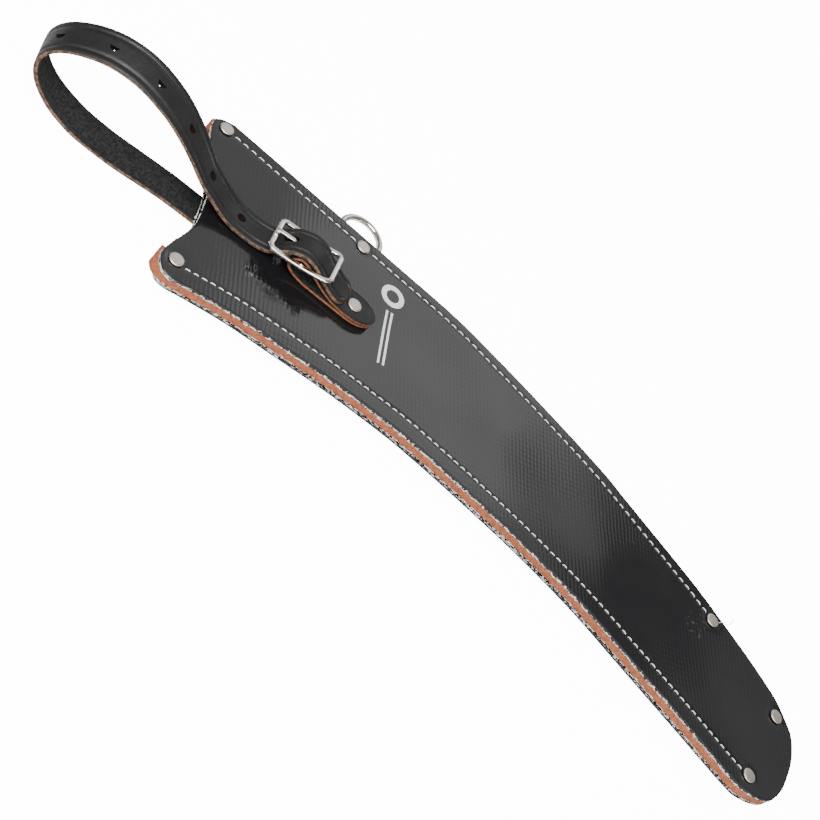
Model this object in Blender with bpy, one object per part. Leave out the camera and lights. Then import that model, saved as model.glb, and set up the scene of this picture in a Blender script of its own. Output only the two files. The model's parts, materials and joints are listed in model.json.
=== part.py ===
"""Curved pruning-saw scabbard: two belting plies on leather welts, riveted and sewn, with a buckled belt loop.

Metres, +Z up. The scabbard lies on its back: +Z leaves the front ply, +Y runs to the mouth, +X is the convex edge.
The origin is on the outer face of the back ply, at mid length.
"""
import math

import bmesh
import bpy
from mathutils import Matrix, Vector

# ---- Body sizes ----
BODY_LENGTH = 0.462          # mouth horn to toe
BODY_WIDTH = 0.123           # across the mouth
PLY = 0.0021                 # rubber-faced belting
WELT_THICKNESS = 0.0048
CONCAVE_WELT_WIDTH = 0.0165
CONVEX_WELT_WIDTH = 0.0135
CONCAVE_SEAM_INSET = 0.0098  # seam line to cut edge
CONVEX_SEAM_INSET = 0.0072
WELT_PROUD = 0.0016          # the welts stand this far out of the mouth
GAP = 0.0003                 # between pieces that touch
FRONT_Z = 2 * PLY + WELT_THICKNESS + 2 * GAP

# ---- Fasteners and thread ----
RIVET_HEAD_RADIUS = 0.0042
RIVET_HEAD_HEIGHT = 0.0010
RIVET_SHANK_RADIUS = 0.0017
WASHER_RADIUS = 0.0042
WASHER_THICKNESS = 0.0007
THREAD_RADIUS = 0.00045

# ---- Belt loop ----
SWIVEL = (0.0, 0.2442 * BODY_LENGTH)   # the chape rivet and the strap rivet share this axis
LOOP_LEAN = math.radians(4.0)
STRAP_WIDTH = 0.0198
STRAP_THICKNESS = 0.0026
STRAP_HOLE_RADIUS = 0.0019
STRAP_HOLE_PITCH = 0.0272
STRAP_HOLE_COUNT = 6
STRAP_END_LAP = 0.014                  # strap and chape run this far past their rivet
CHAPE_THICKNESS = 0.0016

# ---- Buckle, in the loop's frame: V along the strap from the swivel axis, H above the front ply ----
BUCKLE_BAR_V = 0.0373
BUCKLE_BAR_H = 0.0118
BUCKLE_BAR_RADIUS = 0.0012
BUCKLE_WIRE_RADIUS = 0.00130
BUCKLE_MOUTH_REACH = 0.0187            # centre bar to the bar nearer the mouth
BUCKLE_TOE_REACH = 0.0166
BUCKLE_SLOPE = 0.149
BUCKLE_BOW = 3.7                       # per metre
BUCKLE_SIDE_PLAY = 0.0004
PRONG_THICKNESS = 0.0017
PRONG_WIDTH = 0.0024
PRONG_HOLE_RADIUS = 0.0026  # stretched by the prong

# ---- D-ring ----
RING_WIRE_RADIUS = 0.0018
RING_INNER_WIDTH = 0.0230
RING_ARM = 0.0083
RING_BAR_OUTSIDE = 0.0048              # bar centre beyond the cut edge
TAB_THICKNESS = 0.0015
TAB_SIDE_PLAY = 0.0014

# ---- Outline points: (share of the body's width, share of its length) ----
CONCAVE_EDGE = [(-0.530, 0.443), (-0.555, 0.4365), (-0.5585, 0.424), (-0.530, 0.398), (-0.481, 0.346),
                (-0.437, 0.271), (-0.407, 0.216), (-0.384, 0.141), (-0.381, 0.097), (-0.392, 0.022),
                (-0.417, -0.070), (-0.465, -0.162), (-0.539, -0.249), (-0.615, -0.3355), (-0.697, -0.422),
                (-0.7065, -0.4465), (-0.680, -0.473), (-0.640, -0.487), (-0.560, -0.4985), (-0.472, -0.5035)]
CONVEX_EDGE = [(-0.382, -0.5055), (-0.310, -0.503), (-0.250, -0.498), (-0.209, -0.489), (-0.158, -0.474),
               (-0.107, -0.4545), (-0.031, -0.411), (0.040, -0.3625), (0.121, -0.303), (0.248, -0.184),
               (0.304, -0.130), (0.370, -0.0325), (0.421, 0.065), (0.445, 0.130), (0.4445, 0.216),
               (0.440, 0.352), (0.4365, 0.460), (0.4315, 0.4775), (0.4130, 0.4895), (0.3850, 0.4955)]
MOUTH_SCOOP = [(0.340, 0.495), (0.283, 0.489), (0.226, 0.4816), (0.096, 0.463), (-0.006, 0.4504),
               (-0.148, 0.4418), (-0.230, 0.4396), (-0.311, 0.4424), (-0.412, 0.448), (-0.485, 0.449)]
RIVET_LENGTH_SHARES = {"mouth_concave": 0.432, "toe_concave": -0.445,
                       "mouth_convex": 0.479, "ring": 0.2693, "seam_end": -0.345, "toe_convex": -0.469}
CORNER_RIVET_RISE = 0.009    # a mouth rivet stands this far above the straight part of its seam
CONCAVE_WELT_END = -0.62     # width share at the toe where the concave side's welt stops
CONVEX_WELT_END = -0.474     # length share at the toe where the convex side's welt stops


# ---- Materials ----
def principled(name, colour, roughness, metallic=0.0):
    material = bpy.data.materials.new(name)
    material.use_nodes = True
    shader = material.node_tree.nodes["Principled BSDF"]
    shader.inputs["Base Color"].default_value = (*colour, 1.0)
    shader.inputs["Roughness"].default_value = roughness
    shader.inputs["Metallic"].default_value = metallic
    material.diffuse_color = (*colour, 1.0)
    return material


# ---- Curves ----
def catmull_rom(a, b, c, d, t):
    return 0.5 * (2 * b + (c - a) * t + (2 * a - 5 * b + 4 * c - d) * t ** 2 + (3 * b - a - 3 * c + d) * t ** 3)


def smooth_curve(points, spacing):
    """Evenly spaced points on a smooth curve through the given ones."""
    knots = [Vector(p) for p in points]
    knots = [2 * knots[0] - knots[1]] + knots + [2 * knots[-1] - knots[-2]]
    dense = []
    for i in range(1, len(knots) - 2):
        dense += [catmull_rom(*knots[i - 1:i + 3], k / 24) for k in range(24)]
    dense.append(knots[-2])
    return resample(dense, spacing)


def resample(points, spacing):
    lengths = [0.0]
    for a, b in zip(points, points[1:]):
        lengths.append(lengths[-1] + (b - a).length)
    count = max(2, round(lengths[-1] / spacing))
    out, i = [], 0
    for k in range(count + 1):
        target = lengths[-1] * k / count
        while i < len(points) - 2 and lengths[i + 1] < target:
            i += 1
        share = (target - lengths[i]) / max(lengths[i + 1] - lengths[i], 1e-12)
        out.append(points[i].lerp(points[i + 1], min(max(share, 0.0), 1.0)))
    return out


def inset(points, distance):
    """Shifts an open 2-D curve to its left by distance."""
    out = []
    for i, point in enumerate(points):
        run = points[min(i + 1, len(points) - 1)] - points[max(i - 1, 0)]
        out.append(point + Vector((-run.y, run.x)).normalized() * distance)
    return out


def trim_start(points, distance):
    """Cuts a length off the start of a curve."""
    left = distance
    for i, (a, b) in enumerate(zip(points, points[1:])):
        step = (b - a).length
        if step > left:
            return [a.lerp(b, left / step)] + points[i + 1:]
        left -= step
    raise ValueError("nothing left of the curve")


def trim_ends(points, distance):
    return trim_start(trim_start(points, distance)[::-1], distance)[::-1]


def at_height(points, y):
    """The first point of a 2-D curve that crosses the given y."""
    for a, b in zip(points, points[1:]):
        if (a.y - y) * (b.y - y) <= 0 and a.y != b.y:
            return a.lerp(b, (y - a.y) / (b.y - a.y))
    raise ValueError("the curve does not reach that height")


def between_heights(points, high, low):
    """The stretch of a falling 2-D curve between two heights."""
    inner = [p for p in points if low < p.y < high]
    return [at_height(points, high)] + inner + [at_height(points, low)]


def body_curve(shares, spacing=0.007):
    return smooth_curve([(x * BODY_WIDTH, y * BODY_LENGTH) for x, y in shares], spacing)


# ---- Mesh builders ----
def new_object(name, mesh_builder, material, parent=None, location=(0, 0, 0)):
    mesh = bpy.data.meshes.new(name)
    bm = bmesh.new()
    mesh_builder(bm)
    bmesh.ops.recalc_face_normals(bm, faces=bm.faces)
    bm.to_mesh(mesh)
    bm.free()
    mesh.materials.append(material)
    mesh.shade_smooth()
    mesh.set_sharp_from_angle(angle=math.radians(35))
    obj = bpy.data.objects.new(name, mesh)
    bpy.context.scene.collection.objects.link(obj)
    obj.parent = parent
    obj.location = location
    return obj


def slab(bm, outline, low, high, cuts=()):
    """A flat plate of a 2-D outline; cuts are heights in y where its faces are divided."""
    face = bm.faces.new([bm.verts.new((p[0], p[1], low)) for p in outline])
    grown = bmesh.ops.extrude_face_region(bm, geom=[face])["geom"]
    moved = [v for v in grown if isinstance(v, bmesh.types.BMVert)]
    bmesh.ops.translate(bm, verts=moved, vec=(0, 0, high - low))
    for y in cuts:
        everything = bm.verts[:] + bm.edges[:] + bm.faces[:]
        bmesh.ops.bisect_plane(bm, geom=everything, dist=1e-7, plane_co=(0, y, 0), plane_no=(0, 1, 0))


def swept(bm, path, section, across=Vector((1, 0, 0)), closed=False):
    """Sweeps a section of (side, up) offsets along a path; across is the section's side direction."""
    rings = []
    last = len(path) - 1
    for i, point in enumerate(path):
        ahead = path[(i + 1) % len(path)] if closed else path[min(i + 1, last)]
        behind = path[i - 1] if closed else path[max(i - 1, 0)]
        run = (ahead - behind).normalized()
        side = across if across is not None else run.cross(Vector((0, 0, 1))).normalized()
        up = side.cross(run).normalized()
        rings.append([bm.verts.new(point + side * s + up * u) for s, u in section])
    sides = len(section)
    for i in range(len(rings) if closed else last):
        near, far = rings[i], rings[(i + 1) % len(rings)]
        for k in range(sides):
            bm.faces.new((near[k], near[(k + 1) % sides], far[(k + 1) % sides], far[k]))
    if not closed:
        bm.faces.new(rings[0])
        bm.faces.new(rings[-1])


def round_section(radius, sides=8):
    turns = [2 * math.pi * (k + 0.5) / sides for k in range(sides)]
    return [(radius * math.cos(a), radius * math.sin(a)) for a in turns]


def flat_section(width, thickness):
    return [(-width / 2, -thickness / 2), (width / 2, -thickness / 2),
            (width / 2, thickness / 2), (-width / 2, thickness / 2)]


def turned(bm, profile, centre, steps=14, ring=False):
    """Turns (radius, z) points about Z through centre; a ring's profile is a closed loop."""
    verts = [bm.verts.new((centre[0] + r, centre[1], z)) for r, z in profile]
    pairs = list(zip(verts, verts[1:] + ([verts[0]] if ring else [])))
    edges = [bm.edges.new(pair) for pair in pairs]
    bmesh.ops.spin(bm, geom=verts + edges, cent=(centre[0], centre[1], 0), axis=(0, 0, 1),
                   angle=2 * math.pi, steps=steps, use_merge=True)
    bmesh.ops.remove_doubles(bm, verts=bm.verts, dist=1e-6)


def cut(obj, cutter_builder, name):
    """Subtracts a hidden cutter from an object with an exact Boolean."""
    mesh = bpy.data.meshes.new(name)
    bm = bmesh.new()
    cutter_builder(bm)
    bmesh.ops.recalc_face_normals(bm, faces=bm.faces)
    bm.to_mesh(mesh)
    bm.free()
    cutter = bpy.data.objects.new(name, mesh)
    bpy.context.scene.collection.objects.link(cutter)
    cutter.parent = obj.parent
    cutter.location = obj.location
    cutter.hide_render = True
    cutter.display_type = "WIRE"
    modifier = obj.modifiers.new(name, "BOOLEAN")
    modifier.operation = "DIFFERENCE"
    modifier.solver = "EXACT"
    modifier.object = cutter


def drill(bm, centres, radius, low, high):
    for x, y in centres:
        place = Matrix.Translation((x, y, (low + high) / 2))
        bmesh.ops.create_cone(bm, cap_ends=True, segments=14, radius1=radius, radius2=radius,
                              depth=high - low, matrix=place)


# ---- Start ----
for old in list(bpy.data.objects):
    bpy.data.objects.remove(old, do_unlink=True)

rubber = principled("black_belting", (0.022, 0.023, 0.025), 0.38)
welt_leather = principled("welt_leather", (0.55, 0.22, 0.12), 0.85)
strap_leather = principled("black_leather", (0.018, 0.018, 0.019), 0.45)
nickel = principled("nickel", (0.72, 0.68, 0.62), 0.28, 1.0)
cotton = principled("white_thread", (0.85, 0.84, 0.80), 0.8)

# ---- Outline and seam lines ----
concave_edge = body_curve(CONCAVE_EDGE)
convex_edge = body_curve(CONVEX_EDGE)
scoop = body_curve(MOUTH_SCOOP)
concave_seam = inset(concave_edge, CONCAVE_SEAM_INSET)
convex_seam = inset(convex_edge, CONVEX_SEAM_INSET)[::-1]

rivet_places = {}
for place, share in RIVET_LENGTH_SHARES.items():
    seam = (concave_seam if place.endswith("concave") else convex_seam)[2:]
    y = share * BODY_LENGTH
    below_corner = CORNER_RIVET_RISE if place.startswith("mouth") else 0.0
    rivet_places[place] = Vector((at_height(seam, y - below_corner).x, y))

# ---- Plies ----
shank_hole = RIVET_SHANK_RADIUS + GAP
body_outline = concave_edge + convex_edge + scoop
face_cuts = [BODY_LENGTH * share for share in (-0.35, -0.2, -0.07, 0.07, 0.17, 0.32)]
edge_holes = [tuple(p) for p in rivet_places.values()]

front_ply = new_object("front_ply", lambda bm: slab(bm, body_outline, FRONT_Z - PLY, FRONT_Z, face_cuts), rubber)
back_ply = new_object("back_ply", lambda bm: slab(bm, body_outline, 0.0, PLY, face_cuts), rubber)
for ply in (front_ply, back_ply):
    cut(ply, lambda bm: drill(bm, edge_holes + [SWIVEL], shank_hole, -0.01, FRONT_Z + 0.01), ply.name + "_drill")

# ---- Welts ----
welt_low = PLY + GAP
welt_high = welt_low + WELT_THICKNESS


def welt_outline(edge, width):
    return edge + inset(edge, width)[::-1]


def with_horn(edge, at_start):
    """Lengthens a welt straight out of the mouth, past the ply's rounded corner."""
    points = edge if at_start else edge[::-1]
    inner = [p for p in points if p.y < points[0].y - 0.009]
    horn_y = points[0].y + WELT_PROUD
    points = [Vector((inner[0].x, horn_y))] + inner
    return points if at_start else points[::-1]


concave_welt_edge = with_horn([p for p in concave_edge
                               if p.y > -0.46 * BODY_LENGTH or p.x < CONCAVE_WELT_END * BODY_WIDTH], True)
convex_welt_edge = with_horn([p for p in convex_edge if p.y > CONVEX_WELT_END * BODY_LENGTH], False)
for name, edge, width, side in (("concave_side_welt", concave_welt_edge, CONCAVE_WELT_WIDTH, "concave"),
                                ("convex_side_welt", convex_welt_edge, CONVEX_WELT_WIDTH, "convex")):
    outline = welt_outline(edge, width)
    welt = new_object(name, lambda bm: slab(bm, outline, welt_low, welt_high), welt_leather)
    names = [p for p in rivet_places if p.endswith("concave") == (side == "concave")]
    holes = [tuple(rivet_places[p]) for p in names]
    cut(welt, lambda bm: drill(bm, holes, shank_hole, 0.0, FRONT_Z), name + "_drill")

# ---- D-ring tab ----
ring_y = rivet_places["ring"].y + 0.0025
ring_edge_x = at_height(convex_edge, ring_y).x
RING_BAR_X = ring_edge_x + RING_BAR_OUTSIDE
TAB_WIDTH = RING_INNER_WIDTH - 2 * TAB_SIDE_PLAY
tab_eye_radius = RING_WIRE_RADIUS + GAP + TAB_THICKNESS
tab_top = -GAP
tab_low = tab_top - 2 * TAB_THICKNESS
RING_BAR_Z = (tab_top + tab_low) / 2 - 0.0006
tab_end_x = rivet_places["ring"].x - 0.0095


def tab_profile(bm):
    eye = []
    turn_start = math.radians(150)
    for k in range(17):
        angle = turn_start - 2 * turn_start * k / 16
        eye.append((RING_BAR_X + tab_eye_radius * math.cos(angle), RING_BAR_Z + tab_eye_radius * math.sin(angle)))
    eye = [(x, min(z, tab_top) if x < ring_edge_x + 0.0005 else z) for x, z in eye]
    flat_end_x = rivet_places["ring"].x + WASHER_RADIUS + 0.001
    points = [(flat_end_x, tab_low), (tab_end_x, tab_low), (tab_end_x, tab_top), (flat_end_x, tab_top)] + eye
    low_y = ring_y - TAB_WIDTH / 2
    face = bm.faces.new([bm.verts.new((x, low_y, z)) for x, z in points])
    grown = bmesh.ops.extrude_face_region(bm, geom=[face])["geom"]
    bmesh.ops.translate(bm, verts=[v for v in grown if isinstance(v, bmesh.types.BMVert)], vec=(0, TAB_WIDTH, 0))


tab = new_object("d_ring_tab", tab_profile, strap_leather)


def tab_holes(bm):
    place = Matrix.Translation((RING_BAR_X, ring_y, RING_BAR_Z)) @ Matrix.Rotation(math.pi / 2, 4, "X")
    bmesh.ops.create_cone(bm, cap_ends=True, segments=16, radius1=RING_WIRE_RADIUS + GAP,
                          radius2=RING_WIRE_RADIUS + GAP, depth=TAB_WIDTH + 0.002, matrix=place)
    drill(bm, [tuple(rivet_places["ring"])], shank_hole, tab_low - 0.001, tab_top + 0.001)


cut(tab, tab_holes, "d_ring_tab_holes")

# ---- Edge rivets and their washers ----
def rivet_profile(head_top, shank_end, head_height=RIVET_HEAD_HEIGHT):
    """From the head's crown down the outside to the peened end; head_top above shank_end."""
    head_low = head_top - head_height
    return [(0.0, head_top), (RIVET_HEAD_RADIUS * 0.72, head_top - head_height * 0.12),
            (RIVET_HEAD_RADIUS, head_top - head_height * 0.55), (RIVET_HEAD_RADIUS * 0.97, head_low),
            (RIVET_SHANK_RADIUS, head_low), (RIVET_SHANK_RADIUS, shank_end), (0.0, shank_end)]


def washer_profile(low, high):
    inner = RIVET_SHANK_RADIUS + GAP
    return [(inner, low), (WASHER_RADIUS * 0.9, low), (WASHER_RADIUS, (low + high) / 2),
            (WASHER_RADIUS * 0.94, high), (inner, high)]


def rivet_and_washer(name, centre, head_top, washer_high):
    """A rivet with its head up, and the washer round its lower end."""
    washer_low = washer_high - WASHER_THICKNESS
    shank_end = washer_low - 0.0003
    new_object(name + "_rivet", lambda bm: turned(bm, rivet_profile(head_top, shank_end), centre), nickel)
    new_object(name + "_washer",
               lambda bm: turned(bm, washer_profile(washer_low, washer_high), centre, ring=True), nickel)


head_top_z = FRONT_Z + GAP + RIVET_HEAD_HEIGHT
for place, centre in rivet_places.items():
    under = tab_low if place == "ring" else 0.0
    rivet_and_washer(place, tuple(centre), head_top_z, under - GAP)


# ---- Seam threads, laid as one plain strand per face ----
def thread(name, seam, high, low):
    top = rivet_places[high]
    below = top.y - (CORNER_RIVET_RISE if high.startswith("mouth") else 0.0)
    line = between_heights(seam[2:], below, rivet_places[low].y)
    line = resample(trim_ends([top] + line, RIVET_HEAD_RADIUS + 0.0012), 0.011)
    for face, z in (("front", FRONT_Z + GAP + THREAD_RADIUS), ("back", -GAP - THREAD_RADIUS)):
        run = line
        if face == "back" and low == "ring":
            run = resample(between_heights(line, line[0].y, ring_y + TAB_WIDTH / 2 + 0.001), 0.011)
        if face == "back" and high == "ring":
            run = resample(between_heights(line, ring_y - TAB_WIDTH / 2 - 0.001, line[-1].y), 0.011)
        path = [Vector((p.x, p.y, z)) for p in run]
        new_object(f"{name}_{face}_thread",
                   lambda bm: swept(bm, path, round_section(THREAD_RADIUS, 5), across=None), cotton)


thread("concave_seam", concave_seam, "mouth_concave", "toe_concave")
thread("upper_convex_seam", convex_seam, "mouth_convex", "ring")
thread("lower_convex_seam", convex_seam, "ring", "seam_end")


# ---- D-ring, with its origin on the bar ----
def d_ring_path():
    half = RING_INNER_WIDTH / 2 + RING_WIRE_RADIUS
    corner = 0.0022
    points = []
    for sign in (-1, 1):
        for k in range(4):
            angle = math.radians(90 * k / 3)
            x = corner - corner * (math.cos(angle) if sign < 0 else math.sin(angle))
            y = half - corner + corner * (math.sin(angle) if sign < 0 else math.cos(angle))
            points.append((x, sign * y))
    lower, upper = points[:4], points[4:]
    bow = [(RING_ARM + half * math.cos(a), half * math.sin(a))
           for a in (math.radians(-90 + 15 * k) for k in range(13))]
    return [Vector((x, y, 0)) for x, y in lower + bow + upper]


ring_axis = bpy.data.objects.new("ring_swing_axis", None)
bpy.context.scene.collection.objects.link(ring_axis)
ring_axis.location = (RING_BAR_X, ring_y, RING_BAR_Z)
new_object("d_ring", lambda bm: swept(bm, d_ring_path(), round_section(RING_WIRE_RADIUS), None, True),
           nickel, ring_axis)

# ---- Belt loop: everything here is in the loop's frame, whose origin is the swivel axis on the front face ----
loop_axis = bpy.data.objects.new("belt_loop_swivel_axis", None)
bpy.context.scene.collection.objects.link(loop_axis)
loop_axis.location = (*SWIVEL, FRONT_Z)
loop_axis.rotation_euler = (0, 0, LOOP_LEAN)

back_leg_h = -FRONT_Z - GAP - STRAP_THICKNESS / 2
chape_low_h = GAP + CHAPE_THICKNESS / 2
chape_high_h = chape_low_h + CHAPE_THICKNESS + GAP
eye_top_h = BUCKLE_BAR_H + BUCKLE_BAR_RADIUS + GAP + CHAPE_THICKNESS / 2
strap_on_chape = (CHAPE_THICKNESS + STRAP_THICKNESS) / 2 + GAP
bar_v = BUCKLE_BAR_V
MOUTH_V = (0.4503 * BODY_LENGTH - SWIVEL[1])

CHAPE_PATH = [(-STRAP_END_LAP, chape_low_h), (0.0, chape_low_h), (bar_v - 0.017, chape_low_h + 0.0002),
              (bar_v - 0.006, chape_low_h + 0.0007), (bar_v + 0.0018, chape_low_h + 0.0030),
              (bar_v + 0.0052, (chape_low_h + eye_top_h) / 2 - 0.0004), (bar_v + 0.0045, eye_top_h - 0.0028),
              (bar_v + 0.0012, eye_top_h), (bar_v - 0.0032, eye_top_h - 0.0004),
              (bar_v - 0.0100, eye_top_h - 0.0040), (bar_v - 0.0175, chape_high_h + 0.0036),
              (bar_v - 0.0250, chape_high_h + 0.0010), (bar_v - 0.0320, chape_high_h), (0.0, chape_high_h),
              (-STRAP_END_LAP, chape_high_h)]
STRAP_PATH = [(RIVET_HEAD_RADIUS + 0.0008, chape_high_h + strap_on_chape + 0.0001),
              (bar_v - 0.0250, chape_high_h + strap_on_chape + 0.0013),
              (bar_v - 0.0170, chape_high_h + strap_on_chape + 0.0047),
              (bar_v - 0.0100, eye_top_h + strap_on_chape - 0.0022), (bar_v - 0.0050, eye_top_h + strap_on_chape),
              (bar_v + 0.0004, eye_top_h + strap_on_chape + 0.0005),
              (bar_v + 0.0052, eye_top_h + strap_on_chape - 0.0010),
              (bar_v + 0.0090, BUCKLE_BAR_H + 0.0006), (bar_v + 0.0130, BUCKLE_BAR_H - 0.0042),
              (bar_v + 0.0180, 0.0040), (bar_v + 0.0250, 0.0021), (bar_v + 0.0320, 0.0018),
              (bar_v + 0.0395, 0.0024), (bar_v + 0.0470, 0.0046), (bar_v + 0.0550, 0.0086),
              (MOUTH_V + 0.0060, 0.0132), (MOUTH_V + 0.0160, 0.0208), (MOUTH_V + 0.0268, 0.0280),
              (MOUTH_V + 0.0385, 0.0340), (MOUTH_V + 0.0515, 0.0381), (MOUTH_V + 0.0630, 0.0396),
              (MOUTH_V + 0.0750, 0.0384), (MOUTH_V + 0.0850, 0.0349), (MOUTH_V + 0.0950, 0.0290),
              (MOUTH_V + 0.1020, 0.0222), (MOUTH_V + 0.1055, 0.0145), (MOUTH_V + 0.1050, 0.0070),
              (MOUTH_V + 0.1010, 0.0000), (MOUTH_V + 0.0940, -0.0058), (MOUTH_V + 0.0850, -0.0101),
              (MOUTH_V + 0.0720, back_leg_h - 0.0022), (MOUTH_V + 0.0560, back_leg_h - 0.0031),
              (MOUTH_V + 0.0390, back_leg_h - 0.0020), (MOUTH_V + 0.0240, back_leg_h - 0.0007),
              (MOUTH_V + 0.0100, back_leg_h - 0.0001), (MOUTH_V * 0.5, back_leg_h), (0.0, back_leg_h),
              (-STRAP_END_LAP, back_leg_h)]


def loop_curve(points, spacing):
    return smooth_curve([(0.0, v, h) for v, h in points], spacing)


def rounded_end(centre_v, at_v, sign):
    """A cutter in plan that rounds off a strap's end: a slab with a half-round bite."""
    half = STRAP_WIDTH / 2
    reach = 0.006
    side = half + 0.003
    arc = [(half * 1.001 * math.cos(a), centre_v + sign * (at_v * math.sin(a)))
           for a in (math.radians(15 * k) for k in range(13))]
    tip = centre_v + sign * (at_v + reach)
    return [(side, centre_v), (side, tip), (-side, tip), (-side, centre_v)] + arc[::-1]


# Buckle prong line, from the top of its ring to the bar at the mouth side
prong_ring_radius = BUCKLE_BAR_RADIUS + 0.0002 + 0.0012
mouth_bar_h = -BUCKLE_SLOPE * BUCKLE_MOUTH_REACH + BUCKLE_BOW * BUCKLE_MOUTH_REACH ** 2
prong_start = Vector((0.0, 0.0008, prong_ring_radius - PRONG_THICKNESS / 2))
prong_tip = Vector((0.0, BUCKLE_MOUTH_REACH + 0.0006,
                    mouth_bar_h + BUCKLE_WIRE_RADIUS + GAP + PRONG_THICKNESS / 2))

chape = new_object("buckle_chape",
                   lambda bm: swept(bm, loop_curve(CHAPE_PATH, 0.0022), flat_section(STRAP_WIDTH, CHAPE_THICKNESS)),
                   strap_leather, loop_axis)


def chape_cuts(bm):
    drill(bm, [(0.0, 0.0)], shank_hole, -0.002, 0.012)
    low, high = -0.002, chape_high_h + 0.003
    slab(bm, rounded_end(-0.004, STRAP_END_LAP - 0.0045, -1), low, high)
    slot = PRONG_WIDTH / 2 + 0.0006
    place = Matrix.Translation((0, bar_v + 0.0030, BUCKLE_BAR_H + 0.0015))
    bmesh.ops.create_cube(bm, size=1.0, matrix=place @ Matrix.Diagonal((2 * slot, 0.0150, 0.0110, 1.0)))


cut(chape, chape_cuts, "chape_cuts")

strap_line = loop_curve(STRAP_PATH, 0.0027)
strap = new_object("belt_strap",
                   lambda bm: swept(bm, strap_line, flat_section(STRAP_WIDTH, STRAP_THICKNESS)),
                   strap_leather, loop_axis)
bar_place = Vector((0.0, BUCKLE_BAR_V, BUCKLE_BAR_H))
prong_mid = bar_place + prong_start.lerp(prong_tip, 0.45)
prong_turn = (prong_tip - prong_start).to_track_quat("Z", "Y").to_matrix().to_4x4()


def strap_cuts(bm):
    """The punched row, the hole that the prong is in, the hole over the strap rivet and both rounded ends."""
    travelled = 0.0
    start = min(range(len(strap_line) // 3), key=lambda i: (strap_line[i] - prong_mid).length)
    made = 0
    for i in range(start, len(strap_line) - 1):
        travelled += (strap_line[i + 1] - strap_line[i]).length
        if travelled >= STRAP_HOLE_PITCH * (made + 1) and made < STRAP_HOLE_COUNT:
            run = (strap_line[i + 1] - strap_line[i]).normalized()
            axis = Vector((1, 0, 0)).cross(run)
            turn = axis.to_track_quat("Z", "Y").to_matrix().to_4x4()
            bmesh.ops.create_cone(bm, cap_ends=True, segments=12, radius1=STRAP_HOLE_RADIUS,
                                  radius2=STRAP_HOLE_RADIUS, depth=STRAP_THICKNESS + 0.003,
                                  matrix=Matrix.Translation(strap_line[i + 1]) @ turn)
            made += 1
    bmesh.ops.create_cone(bm, cap_ends=True, segments=12, radius1=PRONG_HOLE_RADIUS,
                          radius2=PRONG_HOLE_RADIUS, depth=0.009, matrix=Matrix.Translation(prong_mid) @ prong_turn)
    drill(bm, [(0.0, 0.0)], shank_hole, back_leg_h - 0.003, back_leg_h + 0.003)
    slab(bm, rounded_end(-0.004, STRAP_END_LAP - 0.0045, -1), back_leg_h - 0.003, back_leg_h + 0.003)
    tip_h = STRAP_PATH[0][1]
    slab(bm, rounded_end(STRAP_PATH[0][0] + 0.010, 0.0098, -1), tip_h - 0.003, tip_h + 0.0042)


cut(strap, strap_cuts, "strap_cuts")

# ---- Buckle frame, with its origin on the centre bar ----
bar_axis = bpy.data.objects.new("buckle_bar_axis", None)
bpy.context.scene.collection.objects.link(bar_axis)
bar_axis.parent = loop_axis
bar_axis.location = bar_place


def frame_height(v):
    return -BUCKLE_SLOPE * v + BUCKLE_BOW * v * v


def frame_path():
    half = STRAP_WIDTH / 2 + BUCKLE_SIDE_PLAY + BUCKLE_WIRE_RADIUS
    corner = 0.0042
    corners = [(half - corner, BUCKLE_MOUTH_REACH - corner, 0), (-half + corner, BUCKLE_MOUTH_REACH - corner, 90),
               (-half + corner, -BUCKLE_TOE_REACH + corner, 180), (half - corner, -BUCKLE_TOE_REACH + corner, 270)]
    points = []
    for x, y, start in corners:
        for k in range(5):
            angle = math.radians(start + 22.5 * k)
            points.append((x + corner * math.cos(angle), y + corner * math.sin(angle)))
        if start in (90, 270):
            sign = -1 if start == 90 else 1
            points += [(sign * half, sign * v) for v in (-0.008, 0.0, 0.008)]
    return [Vector((x, y, frame_height(y))) for x, y in points]


frame = new_object("buckle_frame",
                   lambda bm: swept(bm, frame_path(), round_section(BUCKLE_WIRE_RADIUS), None, True),
                   nickel, bar_axis)
centre_bar_mesh = bpy.data.meshes.new("centre_bar")
bar_bm = bmesh.new()
bmesh.ops.create_cone(bar_bm, cap_ends=True, segments=12, radius1=BUCKLE_BAR_RADIUS, radius2=BUCKLE_BAR_RADIUS,
                      depth=STRAP_WIDTH + 2 * BUCKLE_SIDE_PLAY + 2 * BUCKLE_WIRE_RADIUS,
                      matrix=Matrix.Rotation(math.pi / 2, 4, "Y"))
bar_bm.to_mesh(centre_bar_mesh)
bar_bm.free()
centre_bar = bpy.data.objects.new("centre_bar", centre_bar_mesh)
bpy.context.scene.collection.objects.link(centre_bar)
centre_bar.parent = bar_axis
centre_bar.hide_render = True
centre_bar.display_type = "WIRE"
weld = frame.modifiers.new("centre_bar", "BOOLEAN")
weld.operation = "UNION"
weld.solver = "EXACT"
weld.object = centre_bar


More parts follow.
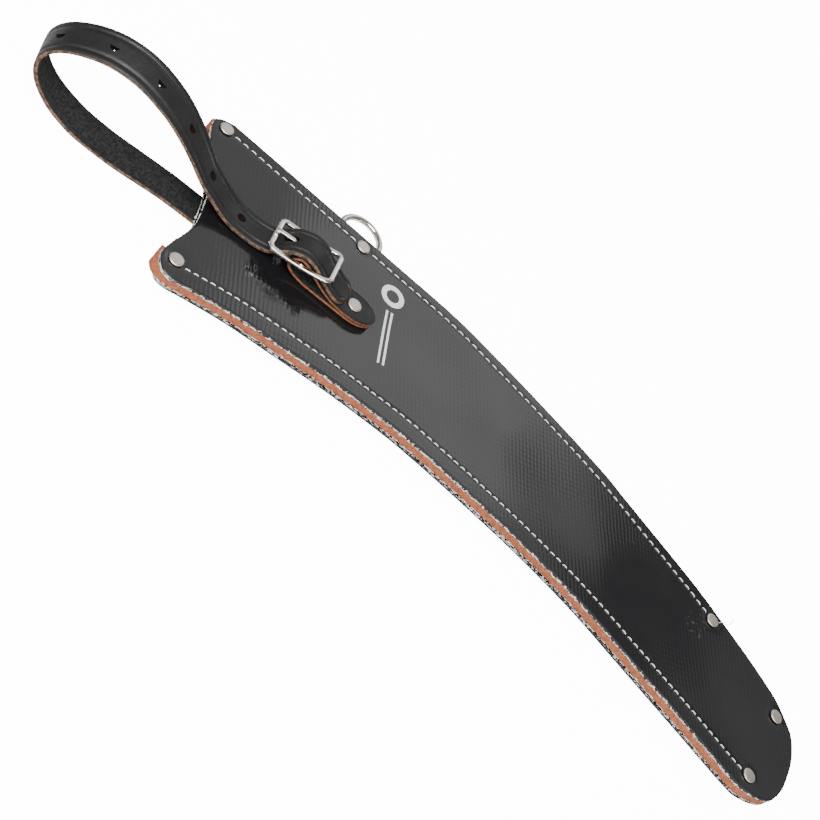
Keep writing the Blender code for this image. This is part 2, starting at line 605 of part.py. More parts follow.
# ---- Prong, with its origin on the centre bar ----
def prong_shape(bm):
    """Its side view, a ring that runs into a finger, drawn once and given its width."""
    run = (prong_tip - prong_start).normalized()
    up = Vector((1, 0, 0)).cross(run)
    half = PRONG_THICKNESS / 2
    outline = [prong_start + up * half, prong_tip + up * half * 0.6, prong_tip + run * 0.0004,
               prong_tip - up * half * 0.8]
    start = math.atan2(prong_start.z - half, prong_start.y + 0.0018)
    for k in range(15):
        angle = start - (2 * math.pi - 0.75) * k / 14
        outline.append(Vector((0, prong_ring_radius * math.cos(angle), prong_ring_radius * math.sin(angle))))
    left = -PRONG_WIDTH / 2
    face = bm.faces.new([bm.verts.new((left, p.y, p.z)) for p in outline])
    grown = bmesh.ops.extrude_face_region(bm, geom=[face])["geom"]
    bmesh.ops.translate(bm, verts=[v for v in grown if isinstance(v, bmesh.types.BMVert)], vec=(PRONG_WIDTH, 0, 0))


prong = new_object("buckle_prong", prong_shape, nickel, bar_axis)
cut(prong, lambda bm: bmesh.ops.create_cone(bm, cap_ends=True, segments=12, radius1=BUCKLE_BAR_RADIUS + 0.0002,
                                            radius2=BUCKLE_BAR_RADIUS + 0.0002, depth=0.01,
                                            matrix=Matrix.Rotation(math.pi / 2, 4, "Y")), "prong_bore")

# ---- Chape rivet and strap rivet on the swivel axis ----
chape_head_top = FRONT_Z + chape_high_h + CHAPE_THICKNESS / 2 + GAP + RIVET_HEAD_HEIGHT
rivet_and_washer("chape", SWIVEL, chape_head_top, FRONT_Z - PLY - GAP)


def strap_rivet_profile():
    """The same rivet turned over: its head is under the strap, its peened end inside the scabbard."""
    under_strap = FRONT_Z + back_leg_h - STRAP_THICKNESS / 2 - GAP
    top = PLY + GAP + WASHER_THICKNESS + 0.0003
    points = rivet_profile(-(under_strap - RIVET_HEAD_HEIGHT), -top)
    return [(r, -z) for r, z in points][::-1]


new_object("strap_rivet", lambda bm: turned(bm, strap_rivet_profile(), SWIVEL), nickel)
new_object("strap_washer", lambda bm: turned(bm, washer_profile(PLY + GAP, PLY + GAP + WASHER_THICKNESS),
                                             SWIVEL, ring=True), nickel)
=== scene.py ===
"""The looks of the pruning-saw scabbard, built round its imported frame. Metres, in the frame's own axes."""
import json
import math
import random

import bmesh
import bpy
from mathutils import Matrix, Vector


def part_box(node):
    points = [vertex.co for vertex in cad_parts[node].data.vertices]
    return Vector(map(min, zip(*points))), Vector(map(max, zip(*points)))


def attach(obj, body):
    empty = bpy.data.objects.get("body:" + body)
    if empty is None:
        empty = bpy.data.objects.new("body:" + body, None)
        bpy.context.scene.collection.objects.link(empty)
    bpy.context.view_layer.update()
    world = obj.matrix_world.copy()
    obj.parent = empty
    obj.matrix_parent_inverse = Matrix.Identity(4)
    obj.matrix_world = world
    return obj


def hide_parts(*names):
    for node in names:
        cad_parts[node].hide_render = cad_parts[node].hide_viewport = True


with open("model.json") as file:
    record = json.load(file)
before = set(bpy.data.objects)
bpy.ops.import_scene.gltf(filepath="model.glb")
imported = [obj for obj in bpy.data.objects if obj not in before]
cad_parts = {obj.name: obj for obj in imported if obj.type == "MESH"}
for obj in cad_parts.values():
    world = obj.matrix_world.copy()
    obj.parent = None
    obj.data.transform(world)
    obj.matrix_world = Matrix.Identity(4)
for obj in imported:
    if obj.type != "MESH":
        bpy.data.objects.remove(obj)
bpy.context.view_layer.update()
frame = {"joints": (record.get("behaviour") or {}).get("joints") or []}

# ---- Sizes, as the frame has them ----
MM = 0.001
BODY_LENGTH = 462 * MM
BODY_WIDTH = 123 * MM
PLY = 2.1 * MM
FRONT_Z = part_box("front_ply")[1][2]
STRAP_WIDTH = 19.8 * MM
STRAP_THICKNESS = 2.6 * MM
CHAPE_THICKNESS = 1.6 * MM
TAB_THICKNESS = 1.5 * MM
CONCAVE_PITCH = 4.75 * MM
CONVEX_PITCH = 5.35 * MM
THREAD_RADIUS = 0.50 * MM
CONCAVE_SEAM_INSET = 9.8 * MM
CONVEX_SEAM_INSET = 7.2 * MM

# Outline points: (share of the body's width, share of its length)
CONCAVE_EDGE = [(-0.530, 0.443), (-0.555, 0.4365), (-0.5585, 0.424), (-0.530, 0.398), (-0.481, 0.346),
                (-0.437, 0.271), (-0.407, 0.216), (-0.384, 0.141), (-0.381, 0.097), (-0.392, 0.022),
                (-0.417, -0.070), (-0.465, -0.162), (-0.539, -0.249), (-0.615, -0.3355), (-0.697, -0.422),
                (-0.7065, -0.4465), (-0.680, -0.473), (-0.640, -0.487), (-0.560, -0.4985), (-0.472, -0.5035)]
CONVEX_EDGE = [(-0.382, -0.5055), (-0.310, -0.503), (-0.250, -0.498), (-0.209, -0.489), (-0.158, -0.474),
               (-0.107, -0.4545), (-0.031, -0.411), (0.040, -0.3625), (0.121, -0.303), (0.248, -0.184),
               (0.304, -0.130), (0.370, -0.0325), (0.421, 0.065), (0.445, 0.130), (0.4445, 0.216),
               (0.440, 0.352), (0.4365, 0.460), (0.4315, 0.4775), (0.4130, 0.4895), (0.3850, 0.4955)]
MOUTH_SCOOP = [(0.340, 0.495), (0.283, 0.489), (0.226, 0.4816), (0.096, 0.463), (-0.006, 0.4504),
               (-0.148, 0.4418), (-0.230, 0.4396), (-0.311, 0.4424), (-0.412, 0.448), (-0.485, 0.449)]
CORNERS = [(-0.556, 0.4340), (-0.7055, -0.4465), (-0.158, -0.474), (0.4315, 0.4775)]

# Places of a strap's finishes in its list of materials
FLESH, RAW_EDGE, GRAIN, HOLE_WALL = range(4)

dice = random.Random(7)


# ---- Curves ----
def catmull_rom(a, b, c, d, t):
    """A point at share t of the smooth curve from b to c."""
    square = (2 * a - 5 * b + 4 * c - d) * t ** 2
    cube = (3 * b - a - 3 * c + d) * t ** 3
    return 0.5 * (2 * b + (c - a) * t + square + cube)


def curve_length(points):
    return sum((b - a).length for a, b in zip(points, points[1:]))


def smooth_curve(points, spacing, closed=False):
    """Evenly spaced points on a smooth curve through the given ones."""
    steps = 24
    knots = [Vector(p) for p in points]
    if closed:
        knots = [knots[-1]] + knots + knots[:2]
    else:
        knots = [2 * knots[0] - knots[1]] + knots + [2 * knots[-1] - knots[-2]]
    dense = []
    for i in range(1, len(knots) - 2):
        dense += [catmull_rom(*knots[i - 1:i + 3], k / steps) for k in range(steps)]
    dense.append(knots[-2])
    return resample(dense, max(2, round(curve_length(dense) / spacing)))


def resample(points, count):
    """count + 1 evenly spaced points along a polyline."""
    lengths = [0.0]
    for a, b in zip(points, points[1:]):
        lengths.append(lengths[-1] + (b - a).length)
    out, i = [], 0
    for k in range(count + 1):
        target = lengths[-1] * k / count
        while i < len(points) - 2 and lengths[i + 1] < target:
            i += 1
        share = (target - lengths[i]) / max(lengths[i + 1] - lengths[i], 1e-12)
        out.append(points[i].lerp(points[i + 1], min(max(share, 0.0), 1.0)))
    return out


def inset(points, distance):
    """The line moved sideways, to the left of the way it runs."""
    out = []
    for i, point in enumerate(points):
        run = points[min(i + 1, len(points) - 1)] - points[max(i - 1, 0)]
        out.append(point + Vector((-run.y, run.x)).normalized() * distance)
    return out


def body_points(shares):
    """Points given as shares of the body's width and length."""
    return [Vector((x * BODY_WIDTH, y * BODY_LENGTH)) for x, y in shares]


def centre_of(node):
    """The middle of a CAD node's box."""
    lo, hi = (Vector(c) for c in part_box(node))
    return (lo + hi) / 2


# ---- Mesh helpers ----
def grid_mesh(bm, along, around, place, wrap=True, caps=True):
    """A grid with its vertices where place(share along, share around) says; wrap makes it a tube."""
    made = bmesh.ops.create_grid(bm, x_segments=along, y_segments=around, size=0.5)["verts"]
    for vert in made:
        vert.co = place(vert.co.x + 0.5, vert.co.y + 0.5)
    if wrap:
        bmesh.ops.remove_doubles(bm, verts=made, dist=1e-7)
        if caps:
            open_edges = [e for e in bm.edges if e.is_boundary]
            bmesh.ops.holes_fill(bm, edges=open_edges, sides=0)


def mesh_of(bm, name):
    """The bmesh as a mesh; the bmesh is freed."""
    mesh = bpy.data.meshes.new(name)
    bm.to_mesh(mesh)
    bm.free()
    return mesh


def rounded_template(name, along, around, place):
    """A small closed tube as a mesh, for a shape that is repeated many times."""
    bm = bmesh.new()
    grid_mesh(bm, along, around, place)
    bmesh.ops.recalc_face_normals(bm, faces=bm.faces)
    return mesh_of(bm, name)


def finished(name, bm, materials, smooth_angle=40, recalc=True):
    """The bmesh as an object at the origin, smooth except at edges sharper than the angle."""
    if recalc:
        bmesh.ops.recalc_face_normals(bm, faces=bm.faces)
    mesh = mesh_of(bm, name)
    for material in materials:
        mesh.materials.append(material)
    mesh.shade_smooth()
    mesh.set_sharp_from_angle(angle=math.radians(smooth_angle))
    obj = bpy.data.objects.new(name, mesh)
    bpy.context.scene.collection.objects.link(obj)
    return obj


def carved(obj, cutter_bm):
    """Subtracts the cutter from a strap and applies the result."""
    bmesh.ops.recalc_face_normals(cutter_bm, faces=cutter_bm.faces)
    # the cutter's faces become the hole walls, which get the painted-shade hole finish
    for face in cutter_bm.faces:
        face.material_index = HOLE_WALL
    mesh = mesh_of(cutter_bm, "cutter")
    cutter = bpy.data.objects.new("cutter", mesh)
    bpy.context.scene.collection.objects.link(cutter)
    modifier = obj.modifiers.new("cut", "BOOLEAN")
    modifier.operation = "DIFFERENCE"
    modifier.solver = "EXACT"
    modifier.object = cutter
    depsgraph = bpy.context.evaluated_depsgraph_get()
    result = bpy.data.meshes.new_from_object(obj.evaluated_get(depsgraph))
    obj.modifiers.clear()
    old = obj.data
    obj.data = result
    bpy.data.meshes.remove(old)
    bpy.data.objects.remove(cutter)
    bpy.data.meshes.remove(mesh)


def appended(bm, template, matrix):
    """Adds a small template mesh at a place."""
    start = len(bm.verts)
    bm.from_mesh(template)
    bm.verts.ensure_lookup_table()
    for vert in bm.verts[start:]:
        vert.co = matrix @ vert.co


def cone(bm, low_radius, high_radius, depth, matrix, segments=28):
    """A solid cone or rod about its own Z, put in its place."""
    bmesh.ops.create_cone(bm, cap_ends=True, segments=segments, radius1=low_radius, radius2=high_radius,
                          depth=depth, matrix=matrix)


def turned(name, profile, steps, matrix, smooth_angle):
    """A nickel piece turned about Z from (radius, z) points, then put in its place."""
    bm = bmesh.new()
    verts = [bm.verts.new((r, 0, z)) for r, z in profile]
    edges = [bm.edges.new(pair) for pair in zip(verts, verts[1:])]
    bmesh.ops.spin(bm, geom=verts + edges, axis=(0, 0, 1), cent=(0, 0, 0), angle=2 * math.pi, steps=steps,
                   use_merge=True)
    bmesh.ops.remove_doubles(bm, verts=bm.verts, dist=1e-6)
    bmesh.ops.transform(bm, matrix=matrix, verts=bm.verts)
    return finished(name, bm, [rivet_nickel], smooth_angle)


# ---- Shader helpers ----
class Nodes:
    """Short calls for making nodes and links in one tree."""

    def __init__(self, tree):
        self.tree = tree

    def add(self, kind, settings=None, **values):
        node = self.tree.nodes.new(kind)
        for key, value in (settings or {}).items():
            setattr(node, key, value)
        for key, value in values.items():
            self.put(node.inputs[key.replace("_", " ")], value)
        return node

    def put(self, socket, value):
        if isinstance(value, bpy.types.NodeSocket):
            self.tree.links.new(value, socket)
        else:
            socket.default_value = value

    def math(self, operation, a, b=0.0):
        node = self.add("ShaderNodeMath", {"operation": operation})
        self.put(node.inputs[0], a)
        self.put(node.inputs[1], b)
        return node.outputs[0]

    def times(self, a, b):
        return self.math("MULTIPLY", a, b)

    def plus(self, a, b):
        return self.math("ADD", a, b)

    def ramp(self, value, low, high, to_low=0.0, to_high=1.0):
        node = self.add("ShaderNodeMapRange", {"interpolation_type": "SMOOTHSTEP"}, Value=value,
                        From_Min=low, From_Max=high, To_Min=to_low, To_Max=to_high)
        return node.outputs["Result"]

    def mix(self, factor, a, b):
        node = self.add("ShaderNodeMix", {"data_type": "RGBA"})
        self.put(node.inputs[0], factor)
        self.put(node.inputs[6], a)
        self.put(node.inputs[7], b)
        return node.outputs[2]

    def noise(self, vector, scale, detail=3.0, roughness=0.55):
        node = self.add("ShaderNodeTexNoise", Vector=vector, Scale=scale, Detail=detail, Roughness=roughness)
        return node.outputs["Fac"]

    def turned(self, vector, degrees):
        node = self.add("ShaderNodeMapping", Vector=vector, Rotation=(0.0, 0.0, math.radians(degrees)))
        return node.outputs["Vector"]

    def split(self, vector):
        return self.add("ShaderNodeSeparateXYZ", Vector=vector).outputs

    def bump(self, height, distance, strength):
        node = self.add("ShaderNodeBump", Height=height, Distance=distance, Strength=strength)
        return node.outputs["Normal"]

    def placed(self, tree, scale, vector):
        """A node group put in this tree, reading the vector at its own scale."""
        return self.add("ShaderNodeGroup", {"node_tree": tree}, Vector=vector, Scale=scale).outputs


def group(name, build, *outputs):
    """A shader node group that reads a Vector and a Scale and puts out the named values."""
    tree = bpy.data.node_groups.new(name, "ShaderNodeTree")
    tree.interface.new_socket(name="Vector", in_out="INPUT", socket_type="NodeSocketVector")
    tree.interface.new_socket(name="Scale", in_out="INPUT", socket_type="NodeSocketFloat")
    for output in outputs:
        tree.interface.new_socket(name=output, in_out="OUTPUT", socket_type="NodeSocketFloat")
    source = tree.nodes.new("NodeGroupInput").outputs
    sink = tree.nodes.new("NodeGroupOutput").inputs
    build(Nodes(tree), source["Vector"], source["Scale"], sink)
    return tree


def new_material(name, **fixed):
    """A Principled material, with its nodes, its shader's sockets and the place on the object."""
    material = bpy.data.materials.new(name)
    material.use_nodes = True
    nodes = Nodes(material.node_tree)
    shader = material.node_tree.nodes["Principled BSDF"]
    for key, value in fixed.items():
        shader.inputs[key.replace("_", " ")].default_value = value
    place = nodes.add("ShaderNodeTexCoord").outputs["Object"]
    return material, nodes, shader.inputs, place


def build_grain(nodes, place, scale, sink):
    """Leather grain: creased cells with fine pores between them."""
    cells = nodes.add("ShaderNodeTexVoronoi", {"feature": "DISTANCE_TO_EDGE"}, Vector=place, Scale=scale)
    creases = nodes.ramp(cells.outputs["Distance"], 0.0, 0.22)
    pores = nodes.noise(place, nodes.times(scale, 2.6), 4.0)
    nodes.put(sink["Height"], nodes.plus(creases, nodes.times(pores, 0.6)))


def build_fibres(nodes, place, scale, sink):
    """Loose, matted fibres, for suede and sanded edges."""
    coarse = nodes.noise(place, scale, 5.0, 0.7)
    fine = nodes.noise(place, nodes.times(scale, 4.5), 3.0, 0.65)
    nodes.put(sink["Height"], nodes.plus(coarse, nodes.times(fine, 0.5)))
    nodes.put(sink["Mask"], nodes.ramp(coarse, 0.36, 0.64))


def build_wear(nodes, place, scale, sink):
    """Sparse small rubs and scratches: 1 where the surface is worn."""
    stretched = nodes.add("ShaderNodeMapping", Vector=place, Scale=(1.0, 0.22, 1.0), Rotation=(0.0, 0.0, 0.6))
    streaks = nodes.noise(stretched.outputs["Vector"], scale, 6.0, 0.7)
    patches = nodes.noise(place, nodes.times(scale, 0.08), 2.0)
    nodes.put(sink["Mask"], nodes.times(nodes.ramp(streaks, 0.60, 0.72), nodes.ramp(patches, 0.50, 0.64)))


leather_grain = group("leather_grain", build_grain, "Height")
matted_fibres = group("matted_fibres", build_fibres, "Height", "Mask")
rubbed_wear = group("rubbed_wear", build_wear, "Mask")


# ---- Materials ----
BLACK_RUBBER = (0.012, 0.012, 0.013, 1)


def belting_face(name, marked):
    """Rubber face of the belting, with the imprint of the cloth under it; it may carry a plain mark."""
    material, nodes, shader, place = new_material(name, Specular_IOR_Level=0.5)
    lie = nodes.turned(place, -22)
    across = nodes.add("ShaderNodeTexWave", {"bands_direction": "Y"}, Vector=lie, Scale=122.0,
                       Distortion=1.5, Detail=2.0)
    lengthwise = nodes.add("ShaderNodeTexWave", {"bands_direction": "X"}, Vector=lie, Scale=100.0,
                           Distortion=2.0, Detail=2.0)
    patches = nodes.ramp(nodes.noise(place, 22.0, 3.0), 0.36, 0.66, 0.35, 1.0)
    weave = nodes.plus(across.outputs["Fac"], nodes.times(lengthwise.outputs["Fac"], 0.5))
    pebble = nodes.noise(place, 900.0, 3.0)
    height = nodes.plus(nodes.times(weave, patches), nodes.times(pebble, 0.6))
    wear = nodes.placed(rubbed_wear, 420.0, place)["Mask"]
    base = nodes.mix(nodes.noise(place, 14.0, 4.0), (0.006, 0.006, 0.007, 1), BLACK_RUBBER)
    base = nodes.mix(nodes.times(wear, 0.4), base, (0.06, 0.06, 0.06, 1))
    specks = nodes.ramp(nodes.noise(place, 330.0, 6.0, 0.7), 0.56, 0.64)
    base = nodes.mix(nodes.times(scuffed_spot(nodes, place), specks), base, (0.055, 0.050, 0.046, 1))
    rough = nodes.ramp(nodes.noise(place, 55.0, 5.0), 0.3, 0.7, 0.10, 0.16)
    rough = nodes.plus(rough, nodes.times(wear, 0.25))
    if marked:
        cover = nodes.ramp(nodes.noise(place, 900.0, 4.0), 0.28, 0.34)
        ink = nodes.times(plain_mark(nodes, place), cover)
        base = nodes.mix(ink, base, (0.80, 0.80, 0.79, 1))
        rough = nodes.plus(rough, nodes.times(ink, 0.3))
    nodes.put(shader["Base Color"], base)
    nodes.put(shader["Roughness"], rough)
    nodes.put(shader["Normal"], nodes.bump(height, 0.00010, 0.38))
    return material


def scuffed_spot(nodes, place):
    """1 in a small patch by the lowest seam rivet, fading out round it."""
    away = nodes.add("ShaderNodeVectorMath", {"operation": "DISTANCE"})
    nodes.put(away.inputs[0], place)
    nodes.put(away.inputs[1], (-0.012, -0.150, FRONT_Z))
    return nodes.ramp(away.outputs["Value"], 6 * MM, 12 * MM, 1.0, 0.0)


def plain_mark(nodes, place):
    """A plain printed device: a ring with two rules beside it. It stands for no maker."""
    mark_at, lean = (0.032, 0.096, 0.0), (0.0, 0.0, math.radians(14))
    ring_outer, ring_inner = 7.5 * MM, 4.2 * MM
    rule_middle, rule_half, rule_apart, rule_weight = 31 * MM, 19.5 * MM, 1.6 * MM, 0.7 * MM
    own = nodes.add("ShaderNodeMapping", {"vector_type": "TEXTURE"}, Vector=place, Location=mark_at,
                    Rotation=lean)
    own_axes = nodes.split(own.outputs["Vector"])
    x, y = own_axes["X"], own_axes["Y"]
    flat = nodes.add("ShaderNodeCombineXYZ", X=x, Y=y).outputs["Vector"]
    radius = nodes.add("ShaderNodeVectorMath", {"operation": "LENGTH"}, Vector=flat).outputs["Value"]
    ring = nodes.times(nodes.math("LESS_THAN", radius, ring_outer),
                       nodes.math("GREATER_THAN", radius, ring_inner))
    near = nodes.math("LESS_THAN", nodes.math("ABSOLUTE", nodes.plus(x, rule_middle)), rule_half)
    off_rule = nodes.math("ABSOLUTE", nodes.math("SUBTRACT", nodes.math("ABSOLUTE", y), rule_apart))
    rules = nodes.times(near, nodes.math("LESS_THAN", off_rule, rule_weight))
    return nodes.math("MAXIMUM", ring, rules)


def belting_edge(name, inner_z, outward):
    """Cut edge of the belting: rubber, with white cloth by its inner face; at the mouth it shows in rows."""
    material, nodes, shader, place = new_material(name, Roughness=0.85)
    axes = nodes.split(place)
    rise = nodes.times(nodes.math("SUBTRACT", axes["Z"], inner_z), outward)
    ragged = nodes.times(nodes.math("SUBTRACT", nodes.noise(place, 340.0, 4.0, 0.7), 0.5), 8 * MM)
    at_mouth = nodes.ramp(axes["Y"], 0.192, 0.198)
    at_side = nodes.math("SUBTRACT", 1.0, at_mouth)
    level = nodes.plus(rise, nodes.times(ragged, at_side))
    knots = nodes.ramp(nodes.noise(place, 560.0, 2.0), 0.47, 0.52)
    side_cloth = nodes.times(nodes.ramp(level, 0.3 * MM, 0.5 * MM, 1.0, 0.0), knots)
    off_row = nodes.math("ABSOLUTE", nodes.math("SUBTRACT", level, 0.85 * MM))
    rows = nodes.math("MAXIMUM", nodes.ramp(off_row, 0.35 * MM, 0.50 * MM),
                      nodes.ramp(nodes.noise(place, 1000.0, 1.0), 0.50, 0.54))
    mouth_cloth = nodes.times(rows, nodes.ramp(level, 1.4 * MM, 1.6 * MM, 1.0, 0.0))
    shown = nodes.plus(nodes.times(mouth_cloth, at_mouth), nodes.times(side_cloth, at_side))
    white = nodes.mix(nodes.noise(place, 700.0), (0.45, 0.44, 0.42, 1), (0.90, 0.89, 0.87, 1))
    nodes.put(shader["Base Color"], nodes.mix(shown, BLACK_RUBBER, white))
    nodes.put(shader["Normal"], nodes.bump(nodes.noise(place, 1300.0, 4.0), 0.00015, 0.7))
    return material


def sanded_leather():
    """Raw vegetable-tanned edge of the welts, sanded to a nap."""
    material, nodes, shader, place = new_material("sanded_welt_leather", Roughness=0.92)
    fibres = nodes.placed(matted_fibres, 420.0, place)
    base = nodes.mix(nodes.noise(place, 60.0, 4.0), (0.20, 0.047, 0.015, 1), (0.34, 0.096, 0.036, 1))
    worn = nodes.mix(nodes.times(fibres["Mask"], 0.55), base, (0.46, 0.155, 0.075, 1))
    specks = nodes.ramp(nodes.noise(place, 1700.0, 2.0), 0.54, 0.62)
    nodes.put(shader["Base Color"], nodes.mix(nodes.times(specks, 0.65), worn, (0.12, 0.03, 0.014, 1)))
    nodes.put(shader["Normal"], nodes.bump(fibres["Height"], 0.0003, 0.8))
    return material


def black_grain():
    """Dyed grain side of the strap leather, waxed to a satin shine."""
    material, nodes, shader, place = new_material("black_grain_leather", Specular_IOR_Level=0.32)
    grain = nodes.placed(leather_grain, 900.0, place)["Height"]
    wear = nodes.placed(rubbed_wear, 700.0, place)["Mask"]
    base = nodes.mix(nodes.noise(place, 90.0, 4.0), (0.007, 0.007, 0.008, 1), (0.015, 0.0145, 0.0145, 1))
    nodes.put(shader["Base Color"], nodes.mix(nodes.times(wear, 0.4), base, (0.075, 0.062, 0.055, 1)))
    nodes.put(shader["Roughness"], nodes.ramp(nodes.noise(place, 160.0, 3.0), 0.3, 0.7, 0.38, 0.50))
    nodes.put(shader["Normal"], nodes.bump(grain, 0.00006, 0.55))
    return material


def black_flesh():
    """Rough flesh side of the strap leather, dyed black and matted."""
    material, nodes, shader, place = new_material("black_flesh_leather", Roughness=0.9,
                                                  Specular_IOR_Level=0.3)
    fibres = nodes.placed(matted_fibres, 620.0, place)
    base = nodes.mix(fibres["Mask"], (0.004, 0.004, 0.0045, 1), (0.022, 0.0225, 0.023, 1))
    nodes.put(shader["Base Color"], base)
    nodes.put(shader["Normal"], nodes.bump(fibres["Height"], 0.0005, 1.0))
    return material


def brown_edge(name, dark, light, dyed):
    """Raw cut edge of the strap leather; dyed is the share of it that took the black dye."""
    material, nodes, shader, place = new_material(name, Roughness=0.8)
    fibres = nodes.placed(matted_fibres, 800.0, place)
    base = nodes.mix(fibres["Mask"], dark, light)
    stains = nodes.ramp(nodes.noise(place, 330.0, 4.0), 0.64 - 0.3 * dyed, 0.74 - 0.3 * dyed)
    nodes.put(shader["Base Color"], nodes.mix(nodes.times(stains, 0.8), base, (0.02, 0.015, 0.013, 1)))
    nodes.put(shader["Normal"], nodes.bump(fibres["Height"], 0.0002, 0.8))
    return material


def shaded_hole_wall():
    """Walls of the punched holes, in painted shade: nearly black, far darker than the strap's cut edge, to
    stand for the shade inside the holes, with a little brown.
    """
    material, nodes, shader, place = new_material("hole_wall_painted_shade", Roughness=0.95,
                                                  Specular_IOR_Level=0.1)
    # painted shade: the near-black wall colour stands in for the shade inside the punched holes
    base = nodes.mix(nodes.noise(place, 900.0), (0.002, 0.0018, 0.0018, 1), (0.016, 0.009, 0.006, 1))
    nodes.put(shader["Base Color"], base)
    return material


def nickel_plate(name, colour_low, colour_high, rough_low, rough_high, scratches):
    """Nickel plate: warm white, with rub marks of its own scale."""
    material, nodes, shader, place = new_material(name, Metallic=1.0)
    wear = nodes.placed(rubbed_wear, scratches, place)["Mask"]
    base = nodes.mix(nodes.noise(place, 240.0, 4.0), colour_low, colour_high)
    nodes.put(shader["Base Color"], nodes.mix(nodes.times(wear, 0.5), base, (0.50, 0.42, 0.35, 1)))
    rough = nodes.ramp(nodes.noise(place, 600.0, 4.0), 0.3, 0.7, rough_low, rough_high)
    nodes.put(shader["Roughness"], nodes.plus(rough, nodes.times(wear, 0.12)))
    nodes.put(shader["Normal"], nodes.bump(nodes.noise(place, 1400.0, 4.0), 0.00004, 0.35))
    return material


def waxed_thread():
    """Off-white waxed cord: the twist shows as fine slanting ridges."""
    material, nodes, shader, place = new_material("waxed_thread", Roughness=0.62, Sheen_Weight=0.15)
    twist = nodes.add("ShaderNodeTexWave", {"bands_direction": "Y"}, Vector=nodes.turned(place, 40),
                      Scale=420.0, Distortion=0.4).outputs["Fac"]
    clean = nodes.mix(nodes.noise(place, 300.0, 4.0), (0.74, 0.71, 0.66, 1), (0.94, 0.925, 0.89, 1))
    nodes.put(shader["Base Color"], nodes.mix(nodes.times(twist, 0.22), clean, (0.50, 0.46, 0.40, 1)))
    nodes.put(shader["Normal"], nodes.bump(twist, 0.0001, 0.7))
    return material


def frayed_cotton():
    """Loose yarns of the cloth: white, with rubber still stuck to some of them."""
    material, nodes, shader, place = new_material("frayed_cotton", Roughness=0.9)
    white = nodes.mix(nodes.noise(place, 500.0), (0.50, 0.49, 0.47, 1), (0.93, 0.92, 0.90, 1))
    rubber = nodes.ramp(nodes.noise(place, 380.0, 2.0), 0.56, 0.60)
    nodes.put(shader["Base Color"], nodes.mix(rubber, white, (0.02, 0.02, 0.021, 1)))
    nodes.put(shader["Normal"], nodes.bump(nodes.noise(place, 2600.0), 0.00005, 0.5))
    return material


rubber_face = belting_face("belting_face", False)
marked_face = belting_face("belting_face_marked", True)
front_edge = belting_edge("front_ply_cut_edge", FRONT_Z - PLY, 1.0)
back_edge = belting_edge("back_ply_cut_edge", PLY, -1.0)
welt_leather = sanded_leather()
grain_leather = black_grain()
flesh_leather = black_flesh()
hole_wall = shaded_hole_wall()
tan_edge = brown_edge("raw_tan_edge", (0.070, 0.034, 0.018, 1), (0.21, 0.115, 0.062, 1), 0.5)
orange_edge = brown_edge("raw_orange_edge", (0.12, 0.034, 0.012, 1), (0.30, 0.100, 0.038, 1), 0.3)
rivet_nickel = nickel_plate("satin_nickel", (0.72, 0.635, 0.55, 1), (0.86, 0.775, 0.69, 1),
                            rough_low=0.40, rough_high=0.52, scratches=900.0)
buckle_nickel = nickel_plate("polished_nickel", (0.76, 0.71, 0.65, 1), (0.90, 0.86, 0.81, 1),
                             rough_low=0.10, rough_high=0.20, scratches=1300.0)
cord_white = waxed_thread()
fray_white = frayed_cotton()

# ---- Outline, seams and rivets ----
outline = smooth_curve(body_points(CONCAVE_EDGE + CONVEX_EDGE + MOUTH_SCOOP), 1.0 * MM, closed=True)[:-1]
concave_edge = smooth_curve(body_points(CONCAVE_EDGE), 1.5 * MM)
convex_edge = smooth_curve(body_points(CONVEX_EDGE), 1.5 * MM)[::-1]
concave_seam = inset(concave_edge, CONCAVE_SEAM_INSET)
convex_seam = inset(convex_edge[::-1], CONVEX_SEAM_INSET)[::-1]
RIVETS = ["mouth_concave", "toe_concave", "mouth_convex", "ring", "seam_end", "toe_convex"]
rivet_at = {name: centre_of(name + "_rivet") for name in RIVETS + ["chape"]}


def seam_line(seam, high, low):
    """The stretch of seam between two rivets, starting and ending clear of their heads."""
    top, foot = rivet_at[high].xy, rivet_at[low].xy
    clear = 4.7 * MM
    highest = top.y - clear if high.startswith("mouth") else top.y
    return [p for p in seam if foot.y <= p.y <= highest
            and (p - top).length > clear and (p - foot).length > clear]


seams = {"concave_seam": seam_line(concave_seam, "mouth_concave", "toe_concave"),
         "upper_convex_seam": seam_line(convex_seam, "mouth_convex", "ring"),
         "lower_convex_seam": seam_line(convex_seam, "ring", "seam_end")}


# ---- Plies ----
PLY_ACROSS, PLY_ALONG = 104, 290
SEAM_CELL = 6 * MM


def ply_borders(across, along):
    """The outline split at its four corners: mouth, concave side, toe and convex side."""
    marks = [min(range(len(outline)), key=lambda i: (outline[i] - corner).length)
             for corner in body_points(CORNERS)]

    def stretch(start, end, count):
        ends = end if end > start else end + len(outline)
        return resample([outline[i % len(outline)] for i in range(start, ends + 1)], count)

    concave = stretch(marks[0], marks[1], along)
    toe = stretch(marks[1], marks[2], across)
    convex = stretch(marks[2], marks[3], along)[::-1]
    mouth = stretch(marks[3], marks[0], across)[::-1]
    return mouth, concave, toe, convex


def between(values, share):
    """A point or a number read from an evenly spaced row of them."""
    spot = share * (len(values) - 1)
    i = min(int(spot), len(values) - 2)
    return values[i] * (1 - (spot - i)) + values[i + 1] * (spot - i)


def patch_point(borders, along, across):
    """A point of the smooth patch between the four borders."""
    mouth, concave, toe, convex = borders
    rim = between(mouth, across) * (1 - along) + between(toe, across) * along
    side = between(concave, along) * (1 - across) + between(convex, along) * across
    corners = ((mouth[0] * (1 - across) + mouth[-1] * across) * (1 - along)
               + (toe[0] * (1 - across) + toe[-1] * across) * along)
    return rim + side - corners


def cell_of(p):
    return int(p.x // SEAM_CELL), int(p.y // SEAM_CELL)


seam_cells = {}
for line in seams.values():
    for p in line:
        seam_cells.setdefault(cell_of(p), []).append(p)


